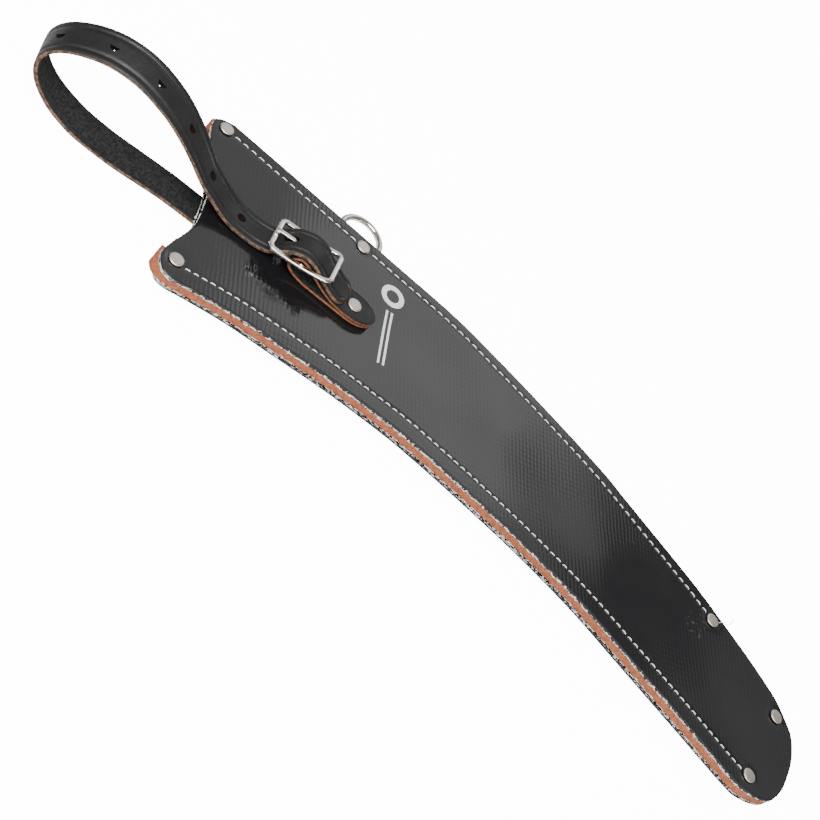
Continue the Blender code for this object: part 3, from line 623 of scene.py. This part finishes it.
def seam_groove(p):
    """How deep the pulled thread sinks the rubber at a point."""
    depth, width = 0.30 * MM, 1.3 * MM
    column, row = cell_of(p)
    nearest = 1.0
    for i in (column - 1, column, column + 1):
        for j in (row - 1, row, row + 1):
            for q in seam_cells.get((i, j), ()):
                nearest = min(nearest, (q - p).length_squared)
    return depth * math.exp(-nearest / width ** 2)


def rivet_dimple(p, rivets):
    """The rubber is drawn down round each head."""
    depth, reach = 0.42 * MM, 6.2 * MM
    away = [(centre.xy - p).length / reach for centre in rivets]
    return sum(depth * math.exp(-share ** 4) for share in away if share < 2.0)


def slow_wave(p, across):
    """Belting never lies quite flat: it sinks in long, shallow swells away from the seams."""
    height, lowest = 0.30 * MM, 2.2
    free = (4 * across * (1 - across)) ** 2
    swell = (math.sin(p.y * 52 + p.x * 14) + 0.7 * math.sin(p.y * 83 - p.x * 46 + 1.3)
             + 0.5 * math.sin(p.y * 31 + p.x * 90 + 0.6))
    return height * free * (swell - lowest)


def flared(borders, reach):
    """The borders with the concave side pushed out along its middle and not at all at its ends."""
    mouth, concave, toe, convex = borders
    pushed = []
    for i, (p, q) in enumerate(zip(concave, convex)):
        share = i / (len(concave) - 1)
        pushed.append(p + (p - q).normalized() * reach * min(1.0, 8 * share * (1 - share)))
    return mouth, pushed, toe, convex


def make_ply(name, node, outer_z, outward, flare, edge_material):
    """One ply of belting: a rippled outer face and an uneven cut edge; its hidden inner side is open."""
    uneven, softened = 0.3 * MM, 0.35 * MM
    borders = flared(ply_borders(PLY_ACROSS, PLY_ALONG), flare)
    rivets = [c for key, c in rivet_at.items() if outward > 0 or key != "chape"]
    inner_z = outer_z - outward * PLY
    bm = bmesh.new()

    def place(a, b):
        p = patch_point(borders, a, b)
        sink = seam_groove(p) + rivet_dimple(p, rivets)
        return Vector((p.x, p.y, outer_z + outward * (slow_wave(p, b) - sink)))

    grid_mesh(bm, PLY_ALONG, PLY_ACROSS, place, wrap=False)
    bmesh.ops.recalc_face_normals(bm, faces=bm.faces)
    outer_faces = list(bm.faces)
    rim = [e for e in bm.edges if e.is_boundary]
    wall = bmesh.ops.extrude_edge_only(bm, edges=rim)["geom"]
    for vert in [g for g in wall if isinstance(g, bmesh.types.BMVert)]:
        vert.co.x += dice.uniform(-uneven, uneven)
        vert.co.y += dice.uniform(-uneven, uneven)
        vert.co.z = inner_z
    bm.normal_update()
    for face in bm.faces:
        face.material_index = 1
    for face in outer_faces:
        face.material_index = 0
    bmesh.ops.bevel(bm, geom=rim, offset=softened, segments=2, profile=0.5, affect="EDGES", material=0)
    ply = finished(name, bm, [marked_face if outward > 0 else rubber_face, edge_material], 50)
    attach(ply, "scabbard")
    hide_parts(node)


make_ply("front_ply_belting", "front_ply", FRONT_Z, 1, 0.0, front_edge)
make_ply("back_ply_belting", "back_ply", 0.0, -1, 1.0 * MM, back_edge)


# ---- Frayed cloth along the cut edges ----
def fibre(start, along, out, droop, spread):
    """One loose yarn that curls out of the edge, droops towards the welt and turns back."""
    length = dice.uniform(0.8, 3.4) * MM
    reach = out * dice.uniform(0.15, 0.95) * spread
    hang = Vector((0, 0, droop * dice.uniform(-0.35, 0.95) * MM))
    middle = start + along * length * 0.5 + reach + hang
    end = start + along * length + reach * dice.uniform(-0.3, 0.7) + hang * dice.uniform(0.2, 1.2)
    radius = dice.uniform(0.14, 0.34) * MM
    up = Vector((0, 0, 1))

    def place(a, b):
        point = start.lerp(middle, a).lerp(middle.lerp(end, a), a)
        angle = 2 * math.pi * b
        taper = 1.0 - 0.5 * abs(2 * a - 1) ** 3
        return point + (out * math.cos(angle) + up * math.sin(angle)) * radius * taper

    return rounded_template("fibre", 4, 4, place)


def make_fray(name, height, droop, spread, runs):
    """Loose yarns along each run of edge, given as its points, the side they leave by and their spacing."""
    whole = bmesh.new()
    for edge, side, step in runs:
        path = resample(edge, round(curve_length(edge) / step))
        for here, after in zip(path, path[1:]):
            along = Vector((*(after - here).normalized(), 0))
            out = Vector((along.y, -along.x, 0)) * side
            start = Vector((*here, height + dice.uniform(-0.5, 0.4) * MM)) - out * 0.1 * MM
            yarn = fibre(start, along * dice.choice((-1, 1)), out, droop, spread)
            whole.from_mesh(yarn)
            bpy.data.meshes.remove(yarn)
    fray = finished(name, whole, [fray_white], 60, recalc=False)
    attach(fray, "scabbard")


mouth_edge = smooth_curve(body_points([CONVEX_EDGE[-1]] + MOUTH_SCOOP + [CONCAVE_EDGE[0]]), 1.5 * MM)
FRAYED = [(concave_edge, -1, 1.1 * MM), (convex_edge, 1, 1.3 * MM), (mouth_edge, 1, 1.1 * MM)]
make_fray("front_ply_fray", FRONT_Z - PLY + 0.15 * MM, -1, 0.7 * MM, FRAYED)
make_fray("back_ply_fray", PLY - 0.10 * MM, 1, 0.95 * MM, FRAYED)


# ---- Welts ----
def make_welt(name, node, edge, width, rise, kept):
    """A sanded leather strip between the plies, rounded at the mouth; its outer wall is slightly uneven."""
    clear, rounded, drawn_in = 0.03 * MM, 7.0 * MM, 5.5 * MM
    low, high = PLY + clear, FRONT_Z - PLY - clear
    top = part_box(node)[1][1] + rise
    straight = [p for p in edge if kept(p) and p.y < edge[0].y - 9 * MM]
    path = [Vector((straight[0].x, top)), Vector((straight[0].x, top - 1.0 * MM))] + straight
    path = resample(path, round(curve_length(path) / (1.6 * MM)))
    sign = 1 if edge is concave_edge else -1
    inner = [p + (q - p) * sign for p, q in zip(path, inset(path, width))]
    bm = bmesh.new()
    section = [(0.0, 0.08), (0.0, 0.5), (0.0, 0.92), (0.03, 1.0),
               (0.97, 1.0), (1.0, 0.5), (0.97, 0.0), (0.03, 0.0)]
    count = len(section)

    def place(a, b):
        outer_point, inner_point = between(path, a), between(inner, a)
        inward = (inner_point - outer_point).normalized()
        depth, up = section[round(b * count) % count]
        p = outer_point.lerp(inner_point, depth)
        if depth < 0.1 and p.y > top - rounded:
            p = p + inward * drawn_in * (1 - (top - p.y) / rounded) ** 2
        if depth < 0.02:
            rough = math.sin(p.y * 900 + p.x * 700) * math.sin(p.y * 371 + up * 2.0)
            p = p - inward * (0.18 * rough + 0.10) * MM
        return Vector((p.x, p.y, low + (high - low) * up))

    grid_mesh(bm, len(path) - 1, count, place)
    welt = finished(name, bm, [welt_leather], 40)
    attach(welt, "scabbard")
    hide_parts(node)


make_welt("concave_welt_leather", "concave_side_welt", concave_edge, width=16.5 * MM, rise=3.2 * MM,
          kept=lambda p: p.y > -0.46 * BODY_LENGTH or p.x < -0.62 * BODY_WIDTH)
make_welt("convex_welt_leather", "convex_side_welt", convex_edge, width=13.5 * MM, rise=0.3 * MM,
          kept=lambda p: p.y > -0.474 * BODY_LENGTH)


# ---- Stitches ----
def stitch_template(length):
    """One visible stitch along X: a fat twist of cord that dives into the rubber at both ends."""
    rise, dive, pulled, flat = 0.30 * MM, 0.9 * MM, 0.74, 0.82

    def place(a, b):
        along = 2 * a - 1
        swell = pulled * THREAD_RADIUS * (1.0 + 0.12 * math.cos(math.pi * along))
        angle = 2 * math.pi * b
        height = rise - dive * abs(along) ** 6
        return Vector((along * length / 2, swell * math.cos(angle), height + flat * swell * math.sin(angle)))

    return rounded_template("stitch", 9, 9, place)


def make_seam(name, line, face_z, outward):
    """One side's stitches along a seam; behind, none are seen under the ring's tab."""
    sunk, shown = 0.22 * MM, 0.72
    node = f"{name}_{'front' if outward > 0 else 'back'}_thread"
    pitch = CONCAVE_PITCH if name == "concave_seam" else CONVEX_PITCH
    stitch = stitch_template(pitch * shown)
    places = resample(line, 2 * round(curve_length(line) / pitch))
    tab_lo, tab_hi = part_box("d_ring_tab")
    bm = bmesh.new()
    for i in range(1, len(places) - 1, 2):
        p = places[i]
        if outward < 0 and tab_lo[0] < p.x and tab_lo[1] - 2 * MM < p.y < tab_hi[1] + 2 * MM:
            continue
        run = places[i + 1] - places[i - 1]
        turn = math.atan2(run.y, run.x) - math.radians(dice.uniform(0.0, 4.0))
        spot = Vector((p.x + dice.uniform(-0.12, 0.12) * MM, p.y, face_z - outward * sunk))
        matrix = Matrix.Translation(spot) @ Matrix.Rotation(turn, 4, "Z")
        if outward < 0:
            matrix = matrix @ Matrix.Rotation(math.pi, 4, "X")
        appended(bm, stitch, matrix @ Matrix.Scale(dice.uniform(0.93, 1.03), 4, (1, 0, 0)))
    bpy.data.meshes.remove(stitch)
    seam = finished(node + "_stitches", bm, [cord_white], 60, recalc=False)
    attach(seam, "scabbard")
    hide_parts(node)


for seam_name, line in seams.items():
    make_seam(seam_name, line, FRONT_Z, 1)
    make_seam(seam_name, line, 0.0, -1)

# ---- Rivets and washers ----
# Turned profiles: radius and height in millimetres, but a washer's height is a share of its thickness
SHANK_RADIUS = 1.7
HEAD = [(0.0, 0.0), (1.2, -0.01), (2.6, -0.05), (3.45, -0.14), (3.90, -0.30), (4.14, -0.52), (4.20, -0.72),
        (4.12, -0.92), (SHANK_RADIUS, -1.0)]
WASHER = [(2.0, 0.0), (2.0, 1.0), (4.05, 1.0), (4.2, 0.5), (4.1, 0.3), (3.7, 0.0), (2.0, 0.0)]
LEAN = 1.2
SETTLE = -0.35 * MM


def make_rivet(name, node, matrix, reach):
    """A flat tubular-rivet head, with its shank; reach is the shank's length under the head."""
    profile = [(r * MM, z * MM) for r, z in HEAD] + [(SHANK_RADIUS * MM, -reach), (0.0, -reach)]
    rivet = turned(name, profile, 56, matrix, 50)
    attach(rivet, "scabbard")
    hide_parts(node)


def make_washer(name, node):
    """A washer with a rounded rim, as thick as its CAD node."""
    lo, hi = (Vector(c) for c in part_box(node))
    profile = [(r * MM, lo.z + (hi.z - lo.z) * share) for r, share in WASHER]
    washer = turned(name, profile, 48, Matrix.Translation((*centre_of(node).xy, 0)), 40)
    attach(washer, "scabbard")
    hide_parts(node)


for name in RIVETS + ["chape", "strap"]:
    lo, hi = (Vector(c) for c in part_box(name + "_rivet"))
    middle = (lo + hi) / 2
    settle = SETTLE if name in RIVETS else 0.0
    lean = math.radians(dice.uniform(-LEAN, LEAN))
    tilt = Matrix.Rotation(lean, 4, Vector((dice.random(), dice.random(), 0.1)))
    place = Matrix.Translation((middle.x, middle.y, hi.z + settle)) @ tilt
    if name == "strap":
        place = Matrix.Translation((middle.x, middle.y, lo.z)) @ Matrix.Rotation(math.pi, 4, "X")
    make_rivet(name + "_rivet_head", name + "_rivet", place, hi.z - lo.z + min(settle, 0.0))
    make_washer(name + "_burr", name + "_washer")

# ---- Belt loop, in the loop's own frame ----
SWIVEL = Vector((rivet_at["chape"].x, rivet_at["chape"].y, FRONT_Z))
loop_place = Matrix.Translation(SWIVEL) @ Matrix.Rotation(math.radians(4.0), 4, "Z")
GAP = 0.3 * MM
BAR_V, BAR_H, BAR_RADIUS = 37.3 * MM, 11.8 * MM, 1.2 * MM
back_leg_h = -FRONT_Z - GAP - STRAP_THICKNESS / 2
chape_low_h = GAP + CHAPE_THICKNESS / 2
chape_high_h = chape_low_h + CHAPE_THICKNESS + GAP
eye_top_h = BAR_H + BAR_RADIUS + GAP + CHAPE_THICKNESS / 2
# From the chape's centre line to the strap's, where the strap lies on it
over = (CHAPE_THICKNESS + STRAP_THICKNESS) / 2 + GAP
STRAP_END_LAP = 14.0 * MM
MOUTH_V = 0.4503 * BODY_LENGTH - SWIVEL.y
RIVET_HOLE = 1.9 * MM
PUNCH_RADIUS = 2.1 * MM
PRONG_HOLE = 2.6 * MM


def beyond(v, h, points):
    """(v, h) points given in millimetres from an anchor."""
    return [(v + dv * MM, h + dh * MM) for dv, dh in points]


CHAPE_PATH = ([(-STRAP_END_LAP, chape_low_h), (0.0, chape_low_h)]
              + beyond(BAR_V, chape_low_h, [(-17.0, 0.2), (-6.0, 0.7), (1.8, 3.0)])
              + beyond(BAR_V, (chape_low_h + eye_top_h) / 2, [(5.2, -0.4)])
              + beyond(BAR_V, eye_top_h, [(4.5, -2.8), (1.2, 0.0), (-3.2, -0.4), (-10.0, -4.0)])
              + beyond(BAR_V, chape_high_h, [(-17.5, 3.6), (-25.0, 1.0), (-32.0, 0.0)])
              + [(0.0, chape_high_h), (-STRAP_END_LAP, chape_high_h)])
STRAP_PATH = ([(5.0 * MM, chape_high_h + over + 0.1 * MM)]
              + beyond(BAR_V, chape_high_h + over, [(-25.0, 1.3), (-17.0, 4.7)])
              + beyond(BAR_V, eye_top_h + over, [(-10.0, -2.2), (-5.0, 0.0), (0.4, 0.5), (5.2, -1.0)])
              + beyond(BAR_V, BAR_H, [(9.6, 1.0), (13.8, -3.6)])
              + beyond(BAR_V, 0.0, [(18.0, 4.0), (25.0, 2.1), (32.0, 1.8), (39.5, 2.4), (47.0, 4.6),
                                    (55.0, 8.6)])
              + beyond(MOUTH_V, 0.0, [(6.0, 13.2), (16.0, 20.8), (26.8, 28.0), (38.5, 34.0), (51.5, 38.1),
                                      (63.0, 39.6), (75.0, 38.4), (85.0, 34.9), (95.0, 29.0),
                                      (102.0, 22.2), (105.5, 14.5), (105.0, 7.0), (101.0, 0.0),
                                      (94.0, -5.8), (85.0, -10.1)])
              + beyond(MOUTH_V, back_leg_h, [(72.0, -2.2), (56.0, -3.1), (39.0, -2.0), (24.0, -0.7),
                                             (10.0, -0.1)])
              + [(MOUTH_V * 0.5, back_leg_h), (0.0, back_leg_h), (-STRAP_END_LAP, back_leg_h)])
# How far the strap leans over, in degrees, at even steps from its end on the chape to its end at the back
STRAP_TWIST = [0, 0, 0, 0, 0, 2, 9, 17, 22, 21, 15, 7, -3, -7, -6, -2, 0, 0, 0, 0, 0, 0]


def strap_section(width, thickness, creased):
    """(side, up) points round a strap's section; the grain side is domed and may be creased."""
    half, top = width / 2, thickness / 2
    r = 0.16 * thickness
    grain = [(-half + 1.4 * r, top), (-half + 3.1 * MM, top + 0.08 * MM)]
    if creased:
        grain += [(-half + 3.5 * MM, top - 0.42 * MM), (-half + 3.9 * MM, top + 0.08 * MM)]
    grain += [(-half * 0.4, top + 0.12 * MM), (0.0, top + 0.14 * MM)]
    edge = [(half - 0.25 * r, top - 0.8 * r), (half, top - 2.2 * r), (half, -top + 1.2 * r),
            (half - 0.7 * r, -top + 0.3 * r)]
    flesh = [(half - 2.0 * r, -top), (half * 0.5, -top), (0.0, -top), (-half * 0.5, -top),
             (-half + 2.0 * r, -top)]
    return (grain + [(-side, up) for side, up in grain[-2::-1]] + edge + flesh
            + [(-side, up) for side, up in edge[::-1]])


def make_strap(name, path, width, thickness, edge_leather, round_start, round_end, creased=False,
               twist=(0, 0)):
    """A strap swept along (0, v, h) points; its grain side is on the left of the way it runs."""
    bm = bmesh.new()
    section = strap_section(width, thickness, creased)
    count = len(section)
    total = curve_length(path)
    last = len(path) - 1

    def narrowing(travelled):
        share = 1.0
        for reach, wanted in ((travelled, round_start), (total - travelled, round_end)):
            if reach < wanted:
                share = min(share, math.sqrt(max(0.0, 1 - (1 - reach / wanted) ** 2)) * 0.96 + 0.04)
        return share

    def place(a, b):
        i = round(a * last)
        run = (path[min(i + 1, last)] - path[max(i - 1, 0)]).normalized()
        side, rise = section[round(b * count) % count]
        lean = math.radians(between(twist, a))
        side = side * narrowing(a * total)
        across = side * math.cos(lean) - rise * math.sin(lean)
        up = side * math.sin(lean) + rise * math.cos(lean)
        return path[i] + Vector((across, -run.z * up, run.y * up))

    grid_mesh(bm, last, count, place)
    bmesh.ops.recalc_face_normals(bm, faces=bm.faces)
    paint_by_tilt(bm, path, twist)
    return finished(name, bm, [flesh_leather, edge_leather, grain_leather, hole_wall], 60)


def paint_by_tilt(bm, path, twist):
    """Gives each face the finish of the side of the strap it lies on."""
    grain_from, flesh_below = 0.55, -0.75
    for face in bm.faces:
        middle = face.calc_center_median()
        near = min(range(len(path)), key=lambda i: (path[i].yz - middle.yz).length_squared)
        run = (path[min(near + 1, len(path) - 1)] - path[max(near - 1, 0)]).normalized()
        lean = math.radians(between(twist, near / (len(path) - 1)))
        up = Vector((0.0, -run.z, run.y)) * math.cos(lean) - Vector((1, 0, 0)) * math.sin(lean)
        tilt = face.normal.dot(up)
        face.material_index = RAW_EDGE
        if tilt > grain_from:
            face.material_index = GRAIN
        elif tilt < flesh_below:
            face.material_index = FLESH


def loop_curve(points, spacing):
    return smooth_curve([(0.0, v, h) for v, h in points], spacing)


def punched(line, pitch, count, start_point):
    """Cutters across the strap, a pitch apart, from the given point on; the grain side is left wider."""
    bm = bmesh.new()
    first = 3.3 * MM
    start = min(range(len(line) // 3), key=lambda i: (line[i] - start_point).length)
    travelled, made = 0.0, 0
    for i in range(start, len(line) - 1):
        travelled += (line[i + 1] - line[i]).length
        if travelled >= pitch * (made + 1) + first and made < count:
            run = (line[i + 1] - line[i]).normalized()
            turn = Vector((1, 0, 0)).cross(run).to_track_quat("Z", "Y").to_matrix().to_4x4()
            cone(bm, PUNCH_RADIUS * 0.2, PUNCH_RADIUS * 1.25, STRAP_THICKNESS + 0.6 * MM,
                 Matrix.Translation(line[i + 1]) @ turn)
            made += 1
    return bm


strap_line = loop_curve(STRAP_PATH, 1.1 * MM)
strap = make_strap("belt_strap_leather", strap_line, STRAP_WIDTH, STRAP_THICKNESS, tan_edge,
                   round_start=7.0 * MM, round_end=9.0 * MM, creased=True, twist=STRAP_TWIST)
prong_hole_at = Vector((0.0, BAR_V + 10.5 * MM, BAR_H + 1.2 * MM))
prong_axis = Vector((0, 1, -0.09)).to_track_quat("Z", "Y").to_matrix().to_4x4()
cuts = punched(strap_line, 27.2 * MM, 6, prong_hole_at)
cone(cuts, PRONG_HOLE, PRONG_HOLE, 9 * MM, Matrix.Translation(prong_hole_at) @ prong_axis)
cone(cuts, RIVET_HOLE, RIVET_HOLE, 8 * MM, Matrix.Translation((0, 0, back_leg_h)))
carved(strap, cuts)

chape_line = loop_curve(CHAPE_PATH[::-1], 0.9 * MM)
chape = make_strap("buckle_chape_leather", chape_line, STRAP_WIDTH, CHAPE_THICKNESS, orange_edge,
                   round_start=15.0 * MM, round_end=15.0 * MM)
cuts = bmesh.new()
cone(cuts, RIVET_HOLE, RIVET_HOLE, 14 * MM, Matrix.Translation((0, 0, chape_low_h)))
prong_slot = bmesh.ops.create_cube(cuts, size=1.0)["verts"]
bmesh.ops.scale(cuts, vec=(3.8 * MM, 11.0 * MM, 9.0 * MM), verts=prong_slot)
bmesh.ops.translate(cuts, vec=(0, BAR_V + 4.0 * MM, BAR_H - 0.5 * MM), verts=prong_slot)
carved(chape, cuts)

for piece, node in ((strap, "belt_strap"), (chape, "buckle_chape")):
    piece.data.transform(loop_place)
    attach(piece, "belt_loop")
    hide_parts(node)


# ---- D-ring tab: a strap end that goes round the ring's bar and back on itself ----
ring_bar = next(Vector(joint["pos_m"]) for joint in frame["joints"] if joint["name"] == "ring_swing")
tab_lo, tab_hi = (Vector(c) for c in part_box("d_ring_tab"))
TAB_PATH = (beyond(tab_lo.x, 0.0, [(0.0, -1.05), (6.0, -1.05)])
            + beyond(ring_bar.x, 0.0, [(-7.5, -1.05), (-4.5, -0.75), (-2.2, 0.10), (0.0, 0.44), (2.0, -0.38),
                                       (2.83, -2.4), (2.0, -4.42), (0.0, -5.20), (-3.5, -4.55),
                                       (-7.0, -3.35), (-10.5, -2.88)])
            + beyond(tab_lo.x, 0.0, [(6.0, -2.85), (0.0, -2.85)]))
tab = make_strap("d_ring_tab_leather", loop_curve(TAB_PATH, 0.6 * MM), tab_hi.y - tab_lo.y, TAB_THICKNESS,
                 orange_edge, round_start=6.0 * MM, round_end=6.0 * MM)
tab.data.transform(Matrix.Translation((0, ring_bar.y, 0)) @ Matrix.Rotation(-math.pi / 2, 4, "Z"))
ring_rivet = rivet_at["ring"]
cuts = bmesh.new()
cone(cuts, RIVET_HOLE, RIVET_HOLE, 12 * MM, Matrix.Translation((ring_rivet.x, ring_rivet.y, -2 * MM)))
carved(tab, cuts)
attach(tab, "scabbard")
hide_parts("d_ring_tab")


# ---- D-ring ----
def tube(bm, path, radius, sides, closed, flatten=1.0, squareness=1.0):
    """A bar along a path; flatten squeezes its height, and a squareness under 1 gives it flats."""
    count = len(path)
    rings = count if closed else count - 1

    def place(a, b):
        i = round(a * rings)
        before = path[(i - 1) % count] if closed else path[max(i - 1, 0)]
        after = path[(i + 1) % count] if closed else path[min(i + 1, count - 1)]
        side = (after - before).cross(Vector((0, 0, 1))).normalized()
        up = side.cross((after - before).normalized())
        x, z = math.cos(2 * math.pi * b), math.sin(2 * math.pi * b)
        x, z = math.copysign(abs(x) ** squareness, x), math.copysign(abs(z) ** squareness, z)
        return path[i % count] + side * radius * x + up * radius * flatten * z

    grid_mesh(bm, rings, sides, place, caps=not closed)


def arc(centre, radius, start, end, steps):
    """(x, y) points of an arc, in degrees."""
    angles = [math.radians(start + (end - start) * k / steps) for k in range(steps + 1)]
    return [(centre[0] + radius * math.cos(a), centre[1] + radius * math.sin(a)) for a in angles]


RING_HALF = 13.3 * MM
RING_ARM = 8.3 * MM
RING_CORNER = 2.2 * MM
RING_WIRE = 1.88 * MM
bow = arc((RING_ARM, 0.0), RING_HALF, -90, 90, 40)
corners = (arc((RING_CORNER, RING_HALF - RING_CORNER), RING_CORNER, 90, 180, 6)
           + arc((RING_CORNER, -RING_HALF + RING_CORNER), RING_CORNER, 180, 270, 6))
ring_path = [ring_bar + Vector((x, y, 0)) for x, y in bow + corners]
ring_line = smooth_curve(ring_path, 1.0 * MM, closed=True)[:-1]
bm = bmesh.new()
tube(bm, ring_line, RING_WIRE, 20, True)
ring = finished("d_ring_wire", bm, [buckle_nickel], 60)
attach(ring, "ring")
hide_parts("d_ring")

# ---- Buckle frame, in the centre bar's frame ----
MOUTH_REACH, TOE_REACH, WIRE = 18.7 * MM, 16.6 * MM, 1.3 * MM
FRAME_HALF = STRAP_WIDTH / 2 + 0.4 * MM + WIRE
bar_place = loop_place @ Matrix.Translation((0, BAR_V, BAR_H))


def frame_height(v):
    """The frame's rise over its bar: it tilts, and both its ends curl up."""
    return -0.149 * v + 3.7 * v * v


def buckle_path():
    """The frame's centre line: four round corners, with points between them on the two long sides."""
    corner = 3.0 * MM
    side, mouth, toe = FRAME_HALF - corner, MOUTH_REACH - corner, -TOE_REACH + corner
    points = arc((side, mouth), corner, 0, 90, 8) + arc((-side, mouth), corner, 90, 180, 8)
    points += [(-FRAME_HALF, y * MM) for y in (8.0, 0.0, -8.0)]
    points += arc((-side, toe), corner, 180, 270, 8) + arc((side, toe), corner, 270, 360, 8)
    points += [(FRAME_HALF, y * MM) for y in (-8.0, 0.0, 8.0)]
    return [Vector((x, y, frame_height(y))) for x, y in points]


bm = bmesh.new()
frame_line = smooth_curve(buckle_path(), 0.8 * MM, closed=True)[:-1]
tube(bm, frame_line, 1.5 * MM, 24, True, flatten=0.72, squareness=0.62)
cone(bm, BAR_RADIUS, BAR_RADIUS, 2 * FRAME_HALF - WIRE, Matrix.Rotation(math.pi / 2, 4, "Y"), segments=20)
for side in (-FRAME_HALF, FRAME_HALF):
    collar = Matrix.Translation((side, 0, 0)) @ Matrix.Scale(0.5, 4, (1, 0, 0))
    bmesh.ops.create_uvsphere(bm, u_segments=18, v_segments=10, radius=2.0 * MM, matrix=collar)
buckle = finished("buckle_frame_wire", bm, [buckle_nickel], 50)
buckle.data.transform(bar_place)
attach(buckle, "buckle")
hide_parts("buckle_frame")


# ---- Prong ----
def prong_outline():
    """Side view of the prong: a wire end bent round the bar, then a finger that thins to its tip."""
    half = 0.85 * MM
    tip_v = MOUTH_REACH + 0.6 * MM
    tip_h = frame_height(MOUTH_REACH) + WIRE + 0.3 * MM + half
    start = Vector((0.8 * MM, 2.6 * MM - half))
    tip = Vector((tip_v, tip_h))
    up = Vector((start.y - tip.y, tip.x - start.x)).normalized()
    bow, thin, eye_inner, eye_outer = 0.15 * MM, 0.62, 1.35 * MM, 2.55 * MM
    finger_top = [start + up * half, start.lerp(tip, 0.5) + up * (half + bow), tip + up * half * thin]
    nose = [tip + (tip - start).normalized() * 0.5 * MM + up * 0.1 * MM, tip - up * half * thin]
    finger_low = [start.lerp(tip, 0.5) - up * (half - bow), Vector((1.9 * MM, 0.55 * MM))]
    inner = [Vector(p) for p in arc((0, 0), eye_inner, 40, 335, 16)]
    outer = [Vector(p) for p in arc((0, 0), eye_outer, 335, 96, 16)]
    return finger_top + nose + finger_low + inner + outer


PRONG_WIDTH = 2.4 * MM
bm = bmesh.new()
side_view = bm.faces.new([bm.verts.new((-PRONG_WIDTH / 2, p.x, p.y)) for p in prong_outline()])
grown = bmesh.ops.extrude_face_region(bm, geom=[side_view])["geom"]
grown_verts = [v for v in grown if isinstance(v, bmesh.types.BMVert)]
bmesh.ops.translate(bm, verts=grown_verts, vec=(PRONG_WIDTH, 0, 0))
rims = [e for e in bm.edges if abs(e.verts[0].co.x - e.verts[1].co.x) < 1e-6]
bmesh.ops.bevel(bm, geom=rims, offset=0.34 * MM, segments=3, profile=0.5, affect="EDGES", material=-1)
prong = finished("buckle_prong_wire", bm, [buckle_nickel], 40)
prong.data.transform(bar_place)
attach(prong, "prong")
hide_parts("buckle_prong")

# ---- Thread end below the last rivet ----
foot = rivet_at["seam_end"]
TAIL = [(2.0, -4.6, 0.3), (4.0, -7.0, 0.6), (5.0, -10.5, 0.45), (8.2, -12.8, 0.9), (12.5, -14.4, 0.5)]
foot_on_face = Vector((foot.x, foot.y, FRONT_Z))
tail_line = smooth_curve([foot_on_face + Vector(p) * MM for p in TAIL], 0.8 * MM)
bm = bmesh.new()
tube(bm, tail_line, 0.22 * MM, 8, False)
tail = finished("thread_end", bm, [cord_white], 60)
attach(tail, "scabbard")


# ---- Stage ----
SWEEP_GLOW = 13.0
ROOM_STRENGTH = 0.23
FLOOR_Z = -6.3 * MM


def floor_material():
    """A white floor, which the camera sees as evenly lit as the room behind it."""
    material, nodes, shader, place = new_material("white_sweep", Roughness=0.75)
    faint = nodes.noise(place, 6.0, 3.0)
    nodes.put(shader["Base Color"], nodes.mix(faint, (0.90, 0.90, 0.90, 1), (0.94, 0.94, 0.94, 1)))
    seen = nodes.add("ShaderNodeLightPath").outputs["Is Camera Ray"]
    shader["Emission Color"].default_value = (1, 1, 1, 1)
    nodes.put(shader["Emission Strength"], nodes.times(seen, SWEEP_GLOW))
    return material


bm = bmesh.new()
bmesh.ops.create_grid(bm, x_segments=1, y_segments=1, size=30.0)
bmesh.ops.translate(bm, verts=bm.verts, vec=(0, 0, FLOOR_Z))
floor = finished("floor", bm, [floor_material()])


def area_light(name, direction, distance, width, height, power, aim=(0, 0, 0)):
    """A soft light that far from its aim, on the side the direction says, turned to its aim."""
    data = bpy.data.lights.new(name, "AREA")
    data.shape = "RECTANGLE"
    data.size, data.size_y = width, height
    data.energy = power
    light = bpy.data.objects.new(name, data)
    bpy.context.scene.collection.objects.link(light)
    light.location = Vector(aim) + Vector(direction).normalized() * distance
    light.rotation_euler = (Vector(aim) - light.location).to_track_quat("-Z", "Y").to_euler()


area_light("softbox_right", (0.74, 0.06, 0.62), 1.3, 1.3, 0.9, 2.7)
area_light("strip_right", (0.742, -0.125, 0.62), 1.0, 0.42, 0.30, 0.34, aim=(0.012, 0.009, 0.0096))
area_light("card_toe", (0.60, -0.42, 0.51), 0.6, 0.22, 0.22, 0.045, aim=(-0.02, -0.27, 0.0096))
area_light("key_top_left", (-0.55, 0.30, 0.80), 1.4, 0.9, 0.9, 37)
area_light("fill_low_left", (-0.90, -0.45, 0.30), 1.6, 1.4, 0.8, 10)

world = bpy.data.worlds.new("white_room")
world.use_nodes = True
room = Nodes(world.node_tree)
seen = room.add("ShaderNodeLightPath").outputs["Is Camera Ray"]
backdrop = world.node_tree.nodes["Background"].inputs
backdrop["Color"].default_value = (1, 1, 1, 1)
room.put(backdrop["Strength"], room.plus(room.times(seen, SWEEP_GLOW), ROOM_STRENGTH))
bpy.context.scene.world = world

camera_data = bpy.data.cameras.new("camera")
camera_data.lens = 66.28
camera_data.sensor_width = 36.0
camera = bpy.data.objects.new("camera", camera_data)
bpy.context.scene.collection.objects.link(camera)
RIGHT = Vector((0.3111, -0.7441, 0.5912))
UP = Vector((0.6097, 0.6336, 0.4764))
LOOK = Vector((0.7290, -0.2123, -0.6507))
STANDPOINT = Vector((-0.6030, 0.2247, 0.5211))
turn = Matrix((RIGHT, UP, -LOOK)).transposed().to_4x4()
camera.matrix_world = Matrix.Translation(STANDPOINT) @ turn
bpy.context.scene.camera = camera
